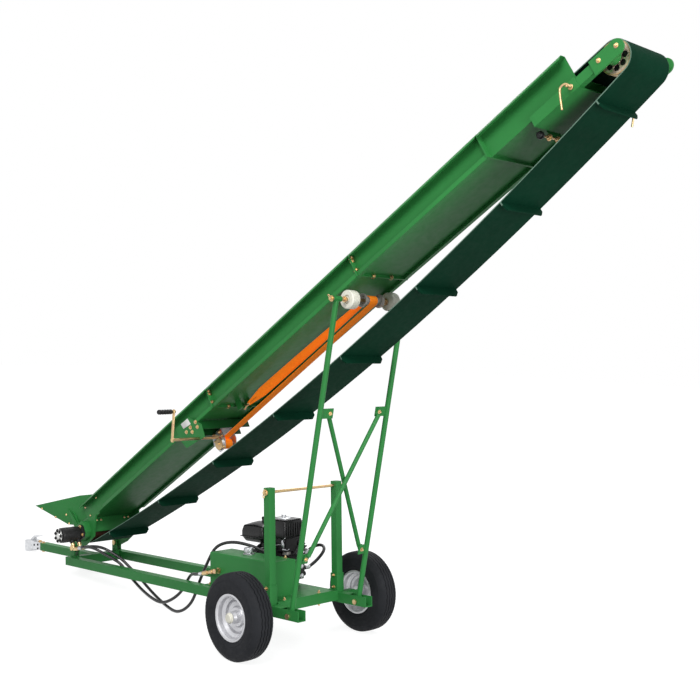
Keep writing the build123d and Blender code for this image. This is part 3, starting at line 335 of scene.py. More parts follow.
print("finishes on", len(nodes), "nodes")


# Modelling helpers, all in millimetres
def clear():
    if bpy.context.mode != "OBJECT":
        bpy.ops.object.mode_set(mode="OBJECT")
    bpy.ops.object.select_all(action="DESELECT")


def only(piece):
    clear()
    piece.select_set(True)
    bpy.context.view_layer.objects.active = piece
    return piece


def editAll(piece):
    only(piece)
    bpy.ops.object.mode_set(mode="EDIT")
    bpy.ops.mesh.select_all(action="SELECT")


def leaveEdit():
    bpy.ops.object.mode_set(mode="OBJECT")
    return bpy.context.object


def pickFaces(piece, test):
    only(piece)
    bpy.ops.object.mode_set(mode="EDIT")
    bpy.ops.mesh.select_mode(type="FACE")
    bpy.ops.mesh.select_all(action="DESELECT")
    mesh = bmesh.from_edit_mesh(piece.data)
    for face in mesh.faces:
        face.select = test(face)
    mesh.select_flush(True)
    bmesh.update_edit_mesh(piece.data)


def outwards():
    bpy.ops.mesh.select_all(action="SELECT")
    bpy.ops.mesh.normals_make_consistent(inside=False)


def applyAll(piece):
    only(piece)
    for step in list(piece.modifiers):
        bpy.ops.object.modifier_apply(modifier=step.name)
    return piece


def block(low, high, bevel=0.0, steps=2):
    clear()
    low = Vector(low)
    high = Vector(high)
    bpy.ops.mesh.primitive_cube_add(size=1, location=(low + high) / 2)
    piece = bpy.context.object
    piece.scale = high - low
    bpy.ops.object.transform_apply(location=True, rotation=True, scale=True)
    if bevel:
        editAll(piece)
        bpy.ops.mesh.bevel(offset=bevel, segments=steps, affect="EDGES")
        leaveEdit()
    return piece


def drawLine(points):
    clear()
    bpy.ops.mesh.primitive_plane_add(size=1)
    bpy.ops.object.mode_set(mode="EDIT")
    bpy.ops.mesh.select_mode(type="VERT")
    bpy.ops.mesh.select_all(action="SELECT")
    bpy.ops.mesh.merge(type="CENTER")
    bpy.ops.transform.translate(value=points[0])
    for a, b in zip(points, points[1:]):
        bpy.ops.mesh.extrude_region_move(TRANSFORM_OT_translate={"value": Vector(b) - Vector(a)})
    return bpy.context.object


def turned(profile, steps, axis=up):
    piece = drawLine([(r, 0, h) for r, h in profile] if axis[2] else [(r, h, 0) for r, h in profile])
    bpy.ops.mesh.select_all(action="SELECT")
    bpy.ops.mesh.spin(steps=steps, angle=math.tau, center=(0, 0, 0), axis=axis)
    bpy.ops.mesh.select_all(action="SELECT")
    bpy.ops.mesh.remove_doubles(threshold=0.01)
    bpy.ops.mesh.normals_make_consistent(inside=False)
    return leaveEdit()


def plate(outline, y0, y1, bevel):
    drawLine([(x, y0, z) for x, z in outline])
    bpy.ops.mesh.select_all(action="SELECT")
    bpy.ops.mesh.edge_face_add()
    bpy.ops.mesh.extrude_region_move(TRANSFORM_OT_translate={"value": (0, y1 - y0, 0)})
    outwards()
    bpy.ops.mesh.bevel(offset=bevel, segments=2, affect="EDGES")
    return leaveEdit()


def curveThrough(name, points, kind, resolution):
    data = bpy.data.curves.new(name, "CURVE")
    data.dimensions = "3D"
    spline = data.splines.new(kind)
    spline.points.add(len(points) - 1)
    for point, spot in zip(spline.points, points):
        point.co = (*spot, 1)
    if kind == "NURBS":
        spline.order_u = 3
        spline.use_endpoint_u = True
    data.resolution_u = resolution
    piece = bpy.data.objects.new(name, data)
    bpy.context.collection.objects.link(piece)
    return piece


def thicken(piece, radius, sides):
    piece.data.bevel_depth = radius
    piece.data.bevel_resolution = sides
    piece.data.use_fill_caps = True
    only(piece)
    bpy.ops.object.convert(target="MESH")
    return bpy.context.object


def rod(points, radius, sides=2, kind="NURBS", widths=None):
    piece = curveThrough("rod", points, kind, 6)
    for point, width in zip(piece.data.splines[0].points, widths or ()):
        point.radius = width
    return thicken(piece, radius, sides)


weldShape = {"radius": 3.2, "ripple": 3.5, "dip": 0.78}


def weldBead(a, b):
    a = Vector(a)
    b = Vector(b)
    count = max(4, int((b - a).length / weldShape["ripple"]))
    points = [a.lerp(b, i / count) for i in range(count + 1)]
    widths = [1.0 if i % 2 else weldShape["dip"] for i in range(count + 1)]
    return rod(points, weldShape["radius"], 1, "POLY", widths)


def joined(pieces):
    clear()
    for piece in pieces:
        piece.select_set(True)
    bpy.context.view_layer.objects.active = pieces[0]
    if len(pieces) > 1:
        bpy.ops.object.join()
    return bpy.context.object


def moved(piece, spot):
    piece.data.transform(shift(spot))
    return piece


def aim(piece, spot, way=up, roll=0.0):
    turn = Vector(up).rotation_difference(Vector(way)).to_matrix().to_4x4()
    piece.data.transform(shift(spot) @ turn @ Matrix.Rotation(math.radians(roll), 4, "Z"))
    return piece


def fit(piece, name, body, look, angle=35, replaces=(), place=None):
    piece.name = name
    piece.data.name = name
    piece.data.transform(places[body] if place is None else place)
    piece.data.materials.clear()
    piece.data.materials.append(finishes[look])
    only(piece)
    bpy.ops.object.shade_smooth_by_angle(angle=math.radians(angle))
    if body:
        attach(piece, body)
    if replaces:
        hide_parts(*replaces)
    return piece


def copyOf(piece):
    copy = piece.copy()
    copy.data = piece.data.copy()
    bpy.context.collection.objects.link(copy)
    return copy


def mirrored(piece):
    far = copyOf(piece)
    far.data.transform(Matrix.Scale(-1, 4, left))
    editAll(far)
    bpy.ops.mesh.normals_make_consistent(inside=False)
    return leaveEdit()


def scatter(name, master, spots, body, look="zinc"):
    copies = [aim(copyOf(master), spot, way, 13 * i) for i, (spot, way) in enumerate(spots)]
    return fit(joined(copies), name, body, look)


def facing(way, points):
    return [(point, way) for point in points]


def bothSides(spots):
    return spots + [((x, -y, z), (a, -b, c)) for (x, y, z), (a, b, c) in spots]


def around(count, offset=0.0):
    return [math.tau * (i + offset) / count for i in range(count)]


def remove(*pieces):
    for piece in pieces:
        bpy.data.objects.remove(piece)


# Fasteners, modelled once, standing on Z
def hexBolt(across, height, washer, stub=0.0):
    clear()
    bpy.ops.mesh.primitive_cylinder_add(vertices=6, radius=across / math.sqrt(3), depth=height,
                                        location=(0, 0, washer + height / 2))
    bpy.ops.object.transform_apply(location=True, rotation=True, scale=True)
    head = bpy.context.object
    pickFaces(head, lambda face: face.normal.z > 0.9)
    bpy.ops.mesh.inset(thickness=across * 0.09, depth=across * 0.05)
    leaveEdit()
    wide = across * 0.86
    parts = [head, turned([(0, 0), (wide, 0), (wide, washer * 0.8), (across * 0.8, washer), (0, washer)], 20)]
    if stub:
        z = washer + height
        r = across * 0.3
        end = z + stub
        parts.append(turned([(0, z - 2), (r, z - 2), (r, end - r * 0.4), (r * 0.6, end), (0, end)], 14))
    return joined(parts)


def domeBolt(radius, height):
    return turned([(0, 0), (radius, 0), (radius, height * 0.25), (radius * 0.86, height * 0.62),
                   (radius * 0.5, height * 0.92), (0, height)], 18)


boltM8 = hexBolt(13, 5.5, 1.6)
boltM10 = hexBolt(17, 7, 2)
nutM10 = hexBolt(17, 8.5, 2, 6)
nutM8 = hexBolt(11.5, 6.5, 1.5, 5)
domeM8 = domeBolt(7.5, 5)
print("fasteners modelled")


# Hydraulic hoses
hoseRoutes = {
    "hose_pressure": {"length": 1.956, "blend": True, "points": [
        (1716.8, 225, 336.2), (1648.5, 225, 351.6), (1564, 200, 349), (1512, 164, 318), (1468, 126, 280),
        (1425, 98, 232), (1324, 90, 176), (1199, 106, 126), (1055, 136, 92), (938, 160, 73), (868, 172, 67),
        (816, 172, 75), (775, 163, 97), (745, 150, 130), (726, 140, 171), (712, 132, 216), (694, 125, 262),
        (663, 118, 322), (622, 116, 384), (588, 106, 438), (536, 88, 466), (478, 62, 474), (425, 34, 466),
        (375, 8, 452), (325, -14, 432), (268, -25, 405), (205, -26, 376), (135.3, -26, 376)]},
    "hose_return": {"length": 1.322, "blend": True, "points": [
        (1716.8, 269, 336.2), (1658.3, 269, 349.4), (1585, 262, 355), (1540, 240, 338), (1513, 206, 310),
        (1490, 171, 285), (1458, 141, 257), (1412, 132, 214), (1340, 133, 175), (1233, 150, 139),
        (1089, 172, 107), (983, 178, 96), (901, 164, 127), (850, 141, 172), (812, 138, 221), (777, 139, 264),
        (733, 151, 287), (651.8, 182, 296.3), (593.4, 182, 309.7)]},
    "hose_loop": {"length": 0.342, "blend": False, "points": [
        (85, -84.3, 366), (85, -114, 366), (85, -148, 380), (87, -182, 398), (90, -214, 420), (98, -237, 437),
        (119, -254, 450), (148, -260, 455), (177, -254, 450), (198, -237, 437), (206, -214, 420),
        (206, -196.24, 406.68)]},
}
hoseSize = {"radius": 8.5, "bendFrom": (1420, 100, 232), "bendTo": (1650, 225, 350),
            "crimp": [(7, 0), (9.2, 0), (9.2, 5), (11.2, 6), (11.2, 13), (10.3, 14), (10.3, 16), (11.2, 17),
                      (11.2, 22), (10.3, 23), (10.3, 25), (11.2, 26), (11.2, 32), (10.2, 34), (7, 34)]}


def hoseTube(name, route):
    piece = curveThrough(name, [level @ Vector(spot) for spot in route["points"]], "NURBS", 8)
    line = bpy.data.meshes.new_from_object(piece)
    path = [vertex.co.copy() for vertex in line.vertices]
    return thicken(piece, hoseSize["radius"] / 1000, 5), path


def crimp(name, start, ahead, body):
    sleeve = aim(turned(hoseSize["crimp"], 22), start, Vector(ahead) - Vector(start))
    return fit(sleeve, name, body, "brightZinc", place=level)


def makeHoses():
    for name, route in hoseRoutes.items():
        tube, path = hoseTube(name + "_rubber", route)
        points = route["points"]
        ends = [crimp(name + "_crimp_a", points[0], points[1], "conveyor" if route["blend"] else "frame"),
                crimp(name + "_crimp_b", points[-1], points[-2], "frame")]
        body = None if route["blend"] else "frame"
        fit(tube, name + "_rubber", body, "hose", 60, (name,), Matrix.Identity(4))
        if route["blend"]:
            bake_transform(tube)


makeHoses()
print("hoses made")


# Tyres and wheels
tyreShape = {"steps": 144, "zigzag": 2.2, "grooves": (33, 202), "notch": 0.8, "shoulders": (37, 193),
             "wall": [(101, 39.5), (103.5, 43.5), (113.6, 46.5), (117, 53), (124, 56.5), (130, 58.4),
                      (131, 59.6), (134, 59.7), (135, 58.9), (143, 60.4), (152, 61), (166, 60.3), (175, 58.9),
                      (176, 59.6), (180, 59.2), (181, 57.8), (188, 55.2), (194, 51.5), (199, 48),
                      (203.5, 44.5), (206.6, 40.6)],
             "tread": [(208.4, 36), (208.9, 29.4), (203.2, 28.2), (203.2, 25.4), (209.2, 24.2), (209.6, 16),
                       (209.8, 11.4), (204, 10.2), (204, 7.4), (210, 6.2), (210, 0)],
             "inside": [(198, 12), (192, 38), (178, 47), (150, 51), (114, 38), (101, 30)]}
wheelTrim = {"cap": [(0, 52), (20, 52), (25.4, 50), (25.4, 56), (23, 57.5), (22.4, 61.5), (18, 65), (0, 66)],
             "stem": [(0, 0), (6, 0), (6, 4), (4.2, 7), (4.2, 22), (5, 23), (5, 33), (3.6, 35), (0, 35)],
             "stemSpot": (-81, 0, -19)}


def zigzag(turn, count):
    share = (turn / math.tau * count) % 1
    return 4 * abs(share - 0.5) - 1


def makeTyre():
    near = tyreShape["wall"] + tyreShape["tread"]
    inside = tyreShape["inside"]
    profile = near + [(r, -y) for r, y in reversed(near[:-1])]
    profile += [(r, -y) for r, y in reversed(inside)] + inside + [near[0]]
    steps = tyreShape["steps"]
    tyre = turned(profile, steps, left)
    grooveHalf, grooveFrom = tyreShape["grooves"]
    shoulderHalf, shoulderFrom = tyreShape["shoulders"]
    for vertex in tyre.data.vertices:
        x, y, z = vertex.co
        radius = math.hypot(x, z)
        turn = math.atan2(z, x)
        if abs(y) < grooveHalf and radius > grooveFrom:
            vertex.co.y += tyreShape["zigzag"] * zigzag(turn, steps / 4)
        elif radius > shoulderFrom and abs(y) > shoulderHalf and int(round(turn / math.tau * steps)) % 2 == 0:
            vertex.co.x -= x / radius * tyreShape["notch"]
            vertex.co.z -= z / radius * tyreShape["notch"]
    return tyre


def makeWheels():
    tyre = makeTyre()
    cap = turned(wheelTrim["cap"], 36, left)
    stem = aim(turned(wheelTrim["stem"], 14), wheelTrim["stemSpot"], left)
    for side, s in (("left", 1), ("right", -1)):
        flip = Matrix.Identity(4) if s > 0 else Matrix.Rotation(math.pi, 4, "Z")
        place = level @ shift((0, s * stance["track"], stance["axleHeight"])) @ flip
        body = "wheel_" + side
        fit(copyOf(tyre), "tyre_tread_" + side, body, "tyre", 28, ("tyre_" + side,), place)
        fit(copyOf(cap), "hub_cap_" + side, body, "creamCap", place=place)
        fit(copyOf(stem), "valve_stem_" + side, body, "black_plastic", place=place)
    remove(tyre, cap, stem)


makeWheels()
print("wheels made")


# Lift strap: off the winch drum, round the spool and back to its hook, drawn on the slope
strapRoute = {"drum": (-1509, -58), "coil": 28.5, "coilEnd": 18.5, "turns": 3.25, "coilLeave": 88.9,
              "spool": (-2836, 18), "wrap": 21.8, "lowTurn": -91.1, "upTurn": 89.75, "hook": (-1790, 36.5),
              "width": 50, "strips": 6, "thick": 2.4, "selvage": 0.8,
              "tipWidth": 20, "tipLength": 120, "tipTaper": 105, "twist": 62, "upperRun": 20}
strapStitch = {"rows": (-7, 0, 7), "count": 9, "first": 12, "pitch": 8, "long": 4.5, "w": 34.2, "radius": 0.7}
strapHook = {"claw": [(-4, 7), (-7, 0), (-3, -6), (4, -4), (16, -2), (30, -3), (40, -9), (47, -7), (49, 1),
                      (44, 9), (34, 10)],
             "widths": [0.8, 0.8, 0.8, 0.8, 1, 1.1, 1.2, 1.2, 1.1, 0.9, 0.6], "radius": 4.2,
             "bar": [(-2, -13, 1), (-2, 13, 1)], "barRadius": 4}


def onCircle(centre, radius, angle):
    turn = math.radians(angle)
    return (centre[0] + radius * math.cos(turn), centre[1] + radius * math.sin(turn))


def between(a, b, count, last):
    return [(a[0] + (b[0] - a[0]) * i / count, a[1] + (b[1] - a[1]) * i / count) for i in range(1, last)]


def strapLine():
    s = strapRoute
    line = []
    count = int(24 * s["turns"])
    for i in range(count, -1, -1):
        share = i / count
        radius = s["coil"] + (s["coilEnd"] - s["coil"]) * share
        line.append(onCircle(s["drum"], radius, s["coilLeave"] - 360 * s["turns"] * share))
    line += between(line[-1], onCircle(s["spool"], s["wrap"], s["lowTurn"]), 12, 12)
    wrapped = 360 + s["lowTurn"] - s["upTurn"]
    line += [onCircle(s["spool"], s["wrap"], s["lowTurn"] - i * wrapped / 14) for i in range(15)]
    top = line[-1]
    return line + between(top, s["hook"], 16, 17), top


def makeStrap():
    s = strapRoute
    line, top = strapLine()
    hx, hz = s["hook"]
    band = drawLine([(x, -s["width"] / 2, z) for x, z in line])
    bpy.ops.mesh.select_all(action="SELECT")
    for i in range(s["strips"]):
        step = (0, s["width"] / s["strips"], 0)
        bpy.ops.mesh.extrude_region_move(TRANSFORM_OT_translate={"value": step})
    outwards()
    leaveEdit()
    for vertex in band.data.vertices:
        upper = vertex.co.z > s["upperRun"]
        if vertex.co.x > hx - s["tipLength"] and upper:
            share = min(1.0, (vertex.co.x - hx + s["tipLength"]) / s["tipTaper"])
            vertex.co.y *= 1 + (s["tipWidth"] / s["width"] - 1) * share
        if upper and vertex.co.x > top[0]:
            run = min(1.0, (vertex.co.x - top[0]) / (hx - top[0]))
            turn = math.radians(s["twist"]) * run
            vertex.co.z += vertex.co.y * math.sin(turn)
            vertex.co.y *= math.cos(turn)
    wall = band.modifiers.new("webbingThickness", "SOLIDIFY")
    wall.thickness = s["thick"]
    wall.offset = 0
    edge = band.modifiers.new("selvage", "BEVEL")
    edge.width = s["selvage"]
    edge.segments = 2
    edge.limit_method = "ANGLE"
    applyAll(band)
    fit(band, "strap_webbing", "conveyor", "webbing", 40, ("lift_strap",))
    t = strapStitch
    stitches = []
    for i in range(t["count"]):
        x = hx - t["first"] - t["pitch"] * i
        stitches += [rod([(x, y, t["w"]), (x - t["long"], y, t["w"] + 0.1)], t["radius"], 1, "POLY")
                     for y in t["rows"]]
    fit(joined(stitches), "strap_stitches", "conveyor", "darkThread")
    claw = rod([(hx + a, 0, hz + b) for a, b in strapHook["claw"]], strapHook["radius"], 3,
               widths=strapHook["widths"])
    bar = rod([(hx + a, y, hz + b) for a, y, b in strapHook["bar"]], strapHook["barRadius"], 3, "POLY")
    fit(joined([claw, bar]), "strap_hook", "conveyor", "zinc", 50)


makeStrap()
print("strap made")


# Rollers and spool on the leg axle
rollerShape = {"radius": 44.6, "ribs": 6, "inner": -30, "outer": 20, "bore": 8.3, "edge": 4, "spot": 141,
               "groove": [(0, -1.4), (-1.8, -0.8), (-1.8, 0.8), (0, 1.4)],
               "face": [(22, 0), (20, -7), (12, -7), (11, -3), (8.3, -3)]}
spoolShape = [(26, -60), (33, -60), (33, -53), (20, -51), (20, 51), (33, 53), (33, 60), (26, 60), (16, 40),
              (8.2, 38), (8.2, -38), (16, -40), (26, -60)]
axleTrim = {"collars": [(100, 15), (92, 13), (174, 15), (255, 14)], "bore": 8.1, "half": 3,
            "pin": [(-16, 262, -10), (-12, 262, -5), (0, 262, 0), (12, 262, 5), (20, 264, 12), (15, 266, 18),
                    (6, 264, 12)], "pinRadius": 1.8}


def makeRollers():
    long = stance["legLength"]
    r, low, high, edge = (rollerShape[key] for key in ("radius", "inner", "outer", "edge"))
    bore = (rollerShape["bore"], low)
    profile = [bore, (r - edge, low), (r, low + edge)]
    pitch = (high - low - 2 * edge) / rollerShape["ribs"]
    for i in range(1, rollerShape["ribs"]):
        profile += [(r + a, low + edge + pitch * i + b) for a, b in rollerShape["groove"]]
    profile += [(r, high - edge), (r - edge, high)] + [(a, high + b) for a, b in rollerShape["face"]] + [bore]
    roller = turned(profile, 48, left)
    far = copyOf(roller)
    far.data.transform(Matrix.Rotation(math.pi, 4, "Z"))
    moved(roller, (0, rollerShape["spot"], long))
    moved(far, (0, -rollerShape["spot"], long))
    fit(joined([roller, far]), "ribbed_rollers", "rollers", "nylon", 30, ("lift_rollers",))
    spool = moved(turned(spoolShape, 44, left), (0, 0, long))
    fit(spool, "hollow_spool", "lift_legs", "greyCast", 30, ("strap_spool",))
    bore, half = axleTrim["bore"], axleTrim["half"]
    trims = []
    for s in (1, -1):
        for y, r in axleTrim["collars"]:
            ring = [(bore, -half), (r, -half), (r, half), (bore, half), (bore, -half)]
            trims.append(moved(turned(ring, 22, left), (0, s * y, long)))
        trims.append(rod([(x, s * y, long + z) for x, y, z in axleTrim["pin"]], axleTrim["pinRadius"]))
    fit(joined(trims), "axle_collars_and_pins", "lift_legs", "zinc")


makeRollers()
print("rollers made")


# Winch: crank with its black grip, toothed gear, pinion and pawl
winchTrim = {"shaft": (-1509, -17), "drum": (-1509, -58), "armSwing": -35.3, "armLength": 150, "armY": 337,
             "shaftProfile": [(0, -46), (6.5, -46), (7.5, -44), (7.5, 336), (10, 337), (10, 344), (6, 346),
                              (0, 346)],
             "armHalf": 9.5, "armThick": 6, "armEnd": 12,
             "stud": [(0, -5), (8, -5), (9, -3), (9, 0), (7, 6), (7, 18), (0, 18)],
             "gripFrom": 352, "gripTo": 441, "gripRadius": 12.5, "gripRings": 5,
             "gear": {"radius": 35, "teeth": 34, "depth": 3, "y0": 41, "y1": 49, "bore": 9},
             "pinion": {"radius": 11, "teeth": 10, "depth": 2.6, "y0": 41, "y1": 51, "bore": 2},
             "pawl": [(-1556, -26), (-1544, -22), (-1524, -26), (-1517, -32), (-1522, -36), (-1540, -36),
                      (-1554, -34)], "pawlFaces": (41, 46),
             "guard": [(-1553, 8), (-1528, 10), (-1524, -4), (-1536, -12), (-1553, -8)],
             "guardFaces": (40.5, 43), "pinionRise": 1,
             "nearNuts": [(-1547, 46, -29), (-1486, 40, 8), (-1540, 43, 0), (-1480, 40, -30),
                          (-1509, 49, -58), (-1531, 40, -88)],
             "farNuts": [(-1486, -40, 8), (-1540, -40, 0), (-1509, -40, -58)]}


def toothedGear(radius, teeth, depth, y0, y1, bore):
    clear()
    bpy.ops.mesh.primitive_cylinder_add(vertices=teeth * 4, radius=radius, depth=y1 - y0,
                                        rotation=(math.pi / 2, 0, 0), location=(0, (y0 + y1) / 2, 0))
    bpy.ops.object.transform_apply(location=True, rotation=True, scale=True)
    gear = bpy.context.object
    for vertex in gear.data.vertices:
        step = int(round(math.atan2(vertex.co.z, vertex.co.x) / math.tau * teeth * 4)) % 4
        if step in (0, 1):
            vertex.co.x *= 1 - depth / radius
            vertex.co.z *= 1 - depth / radius
    pickFaces(gear, lambda face: abs(face.normal.y) > 0.9)
    bpy.ops.mesh.inset(thickness=depth + 4)
    bpy.ops.mesh.inset(thickness=1.5, depth=-1.5)
    bpy.ops.mesh.inset(thickness=radius - depth - 7 - bore)
    bpy.ops.mesh.inset(thickness=1.2, depth=2.4)
    return leaveEdit()


def makeWinch():
    w = winchTrim
    sx, sz = w["shaft"]
    hub = shift((sx, w["armY"], sz)) @ turnY(w["armSwing"])
    shaft = moved(turned(w["shaftProfile"], 24, left), (sx, 0, sz))
    half, end = w["armHalf"], w["armEnd"]
    arm = block((-half, 0, -end), (half, w["armThick"], w["armLength"] + end), 2.2)
    arm.data.transform(hub)
    tip = hub @ Vector((0, 0, w["armLength"]))
    stud = moved(turned(w["stud"], 20, left), tip)
    fit(joined([shaft, arm, stud]), "crank_arm", "conveyor", "zinc", 35, ("winch_crank",))
    r = w["gripRadius"]
    long = w["gripTo"] - w["gripFrom"]
    profile = [(7, 0), (r - 3, 0), (r, 4)]
    for i in range(w["gripRings"]):
        y = 12 + i * (long - 26) / (w["gripRings"] - 1)
        profile += [(r + 0.6, y - 5), (r + 0.6, y + 2), (r - 1.6, y + 4), (r - 1.6, y + 6)]
    profile += [(r + 0.6, long - 5), (r - 2, long - 1), (6, long), (6, long - 3), (0, long - 3)]
    grip = moved(turned(profile, 28, left), (tip.x, w["gripFrom"], tip.z))
    fit(grip, "crank_grip", "conveyor", "black_plastic", 40)
    gear = moved(toothedGear(**w["gear"]), (w["drum"][0], 0, w["drum"][1]))
    pinion = moved(toothedGear(**w["pinion"]), (sx, 0, sz + w["pinionRise"]))
    fit(joined([gear, pinion]), "winch_gears", "conveyor", "zinc", 25)
    pawl = plate(w["pawl"], *w["pawlFaces"], 1.2)
    guard = plate(w["guard"], *w["guardFaces"], 0.8)
    fit(joined([pawl, guard]), "winch_pawl", "conveyor", "gearRed")
    scatter("winch_nuts", nutM8, facing(left, w["nearNuts"]) + facing(right, w["farNuts"]), "conveyor")


makeWinch()
print("winch made")


# Clamp handles of the take-up arms
clampBend = {"stem": (-4289, 42), "stemRadius": 6, "stemRun": [(176, 0), (206, 0), (213, 0), (214, 1)],
             "near": [(-4304, 21), (-4296, 44), (-4286, 52), (-4271, 53), (-4257, 48), (-4229, -27)],
             "far": [(-4278, 28), (-4290, 50), (-4312, 52), (-4330, 40), (-4322, 14), (-4264, -54)],
             "radius": 4.4, "y": 214, "boltY": 182}


def makeClamps():
    c = clampBend
    u, w = c["stem"]
    handles = []
    for s, bend in ((1, c["near"]), (-1, c["far"])):
        handles.append(rod([(u, s * y, w + rise) for y, rise in c["stemRun"]], c["stemRadius"], 4, "POLY"))
        handles.append(rod([(a, s * c["y"], b) for a, b in bend], c["radius"], 4))
        handles.append(aim(copyOf(boltM8), (u, s * c["boltY"], w), (0, s, 0), 10))
    fit(joined(handles), "clamp_bars", "conveyor", "zinc", 40, ("clamp_handles",))


makeClamps()


# Lock knob under the trough's last section
knobSpot = {"u": -4047, "w": 20, "ball": 100, "radius": 17, "plate": -20, "thick": 5, "nut": 38,
            "tab": [(-26, 84), (26, 84), (18, 8), (-18, 8)], "stemRadius": 4.5}


def makeKnob():
    k = knobSpot
    u, w, y0, ball, r = (k[key] for key in ("u", "w", "plate", "ball", "radius"))
    tab = plate([(u + a, b) for a, b in k["tab"]], y0 - k["thick"], y0, 1)
    fit(tab, "lock_tab", "conveyor", "green_paint")
    stem = rod([(u, y0 - 14, w), (u, ball - 10, w)], k["stemRadius"], 3, "POLY")
    nuts = [aim(copyOf(nutM10), (u, y, w), way, 20)
            for y, way in ((y0, left), (y0 - k["thick"], right), (k["nut"], left))]
    fit(joined([stem] + nuts), "lock_stem", "conveyor", "zinc")
    arc = [onCircle((0, ball), r, a) for a in range(-60, 91, 15)]
    knob = turned([(4, ball - r - 3), (8, ball - r - 3)] + arc, 26, left)
    fit(moved(knob, (u, 0, w)), "lock_knob", "conveyor", "black_plastic", 60)


makeKnob()


# Hopper wings: one folded sheet a side, flaring out to its tip, with a gusset and button-head bolts
wingSheet = {"flat": [(-440, 143, 112), (-397, 143, 181), (-207, 143, 260), (-76, 143, 118),
                      (-219, 143, 104)],
             "flare": [(-207, 143, 260), (152, 250, 369), (-19.4, 163, 150), (-76, 143, 118)],
             "gusset": [(-78, 168, 234), (-118, 157, 112), (-74, 157, 96)], "thick": 3, "gussetThick": 4,
             "bolts": [(113, 232, 328), (44, 196, 233.5), (-42, 170.2, 208), (-30, 161, 152)], "skin": 1.4,
             "wallBolts": [(-376, 147, 167), (-234, 147, 166), (-263, 147, 98)],
             "out": (-0.222, 0.953, -0.205)}


def sheetFrom(outlines, thick, offset):
    faces = []
    for outline in outlines:
        faces.append(drawLine(outline))
        bpy.ops.mesh.select_all(action="SELECT")
        bpy.ops.mesh.edge_face_add()
        leaveEdit()
    sheet = joined(faces)
    editAll(sheet)
    bpy.ops.mesh.remove_doubles(threshold=0.5)
    bpy.ops.mesh.normals_make_consistent(inside=False)
    leaveEdit()
    if sum(face.normal.y * face.area for face in sheet.data.polygons) < 0:
        editAll(sheet)
        bpy.ops.mesh.flip_normals()
        leaveEdit()
    wall = sheet.modifiers.new("sheetThickness", "SOLIDIFY")
    wall.thickness = thick
    wall.offset = offset
    edge = sheet.modifiers.new("softEdge", "BEVEL")
    edge.width = 0.6
    edge.segments = 2
    return applyAll(sheet)


def makeWings():
    wing = sheetFrom([wingSheet["flat"], wingSheet["flare"]], wingSheet["thick"], 0)
    pair = joined([wing, mirrored(wing)])
    fit(pair, "hopper_wing_sheets", "conveyor", "green_paint", 30, ("hopper_wings",))
    gusset = sheetFrom([wingSheet["gusset"]], wingSheet["gussetThick"], 1)
    fit(joined([gusset, mirrored(gusset)]), "wing_gussets", "conveyor", "green_paint")
    proud = Vector(wingSheet["out"]) * wingSheet["skin"]
    spots = facing(left, wingSheet["wallBolts"])
    spots += facing(wingSheet["out"], [tuple(Vector(spot) + proud) for spot in wingSheet["bolts"]])
    scatter("wing_bolts", domeM8, bothSides(spots), "conveyor")


makeWings()
plateBolts = {"winch": [(-1527, 169, 73), (-1473, 169, 69), (-1530, 169, 42), (-1428, 169, 64),
                        (-1476, 169, 40)],
              "end": [(-4519, 184, 42), (-4434, 184, 45)]}
scatter("winch_plate_bolts", boltM8, facing(left, plateBolts["winch"]), "conveyor")
scatter("end_plate_bolts", nutM8, bothSides(facing(left, plateBolts["end"])), "conveyor")


# Folded edges of the trough's sheets, and the bolts through its joints
troughEdge = {"joints": (-219, -1698, -2956, -3829, -4312), "gap": 6, "lowFrom": -450,
              "top": [(171.5, 184), (172.5, 184), (190, 165), (188, 163.6), (170.5, 181)],
              "low": [(165.3, 66.7), (167.6, 66.7), (167.6, 87), (165.3, 87)],
              "boltsAt": [(159, 167), (159, 150), (159, 100), (60, 74)], "bolted": (-1698, -2956), "rib": 4}


def edgeStrip(profile, u0, u1):
    strip = plate([(-y, z) for y, z in profile], u0, u1, 0.5)
    strip.data.transform(Matrix.Rotation(-math.pi / 2, 4, "Z"))
    return strip


def makeTroughEdges():
    joints = troughEdge["joints"]
    strips = []
    for i, (low, high) in enumerate(zip(joints, joints[1:])):
        u0 = high + troughEdge["gap"]
        u1 = low - troughEdge["gap"]
        strips.append(edgeStrip(troughEdge["top"], u0, u1))
        if i < len(joints) - 2:
            strips.append(edgeStrip(troughEdge["low"], u0, min(u1, troughEdge["lowFrom"])))
    near = joined(strips)
    fit(joined([near, mirrored(near)]), "trough_edges", "conveyor", "green_paint")
    spots = []
    for u in troughEdge["bolted"]:
        for y, w in troughEdge["boltsAt"]:
            spots += [((u - troughEdge["rib"], y, w), back), ((u + troughEdge["rib"], y, w), forward)]
    scatter("trough_joint_bolts", boltM8, bothSides(spots), "conveyor")


makeTroughEdges()


# Guard between the trough's floor and the tail drum
tailGuard = {"outline": [(-262, 81.5), (-259, 81.5), (-249.5, -6), (-252.5, -6)], "half": 143.8,
             "bolts": [(-261, 112, 64), (-261, 84, 64)], "out": (-1, 0, -0.1)}
guard = plate(tailGuard["outline"], -tailGuard["half"], tailGuard["half"], 0.6)
fit(guard, "tail_guard", "conveyor", "green_paint")
scatter("tail_guard_bolts", domeM8, bothSides(facing(tailGuard["out"], tailGuard["bolts"])), "conveyor")


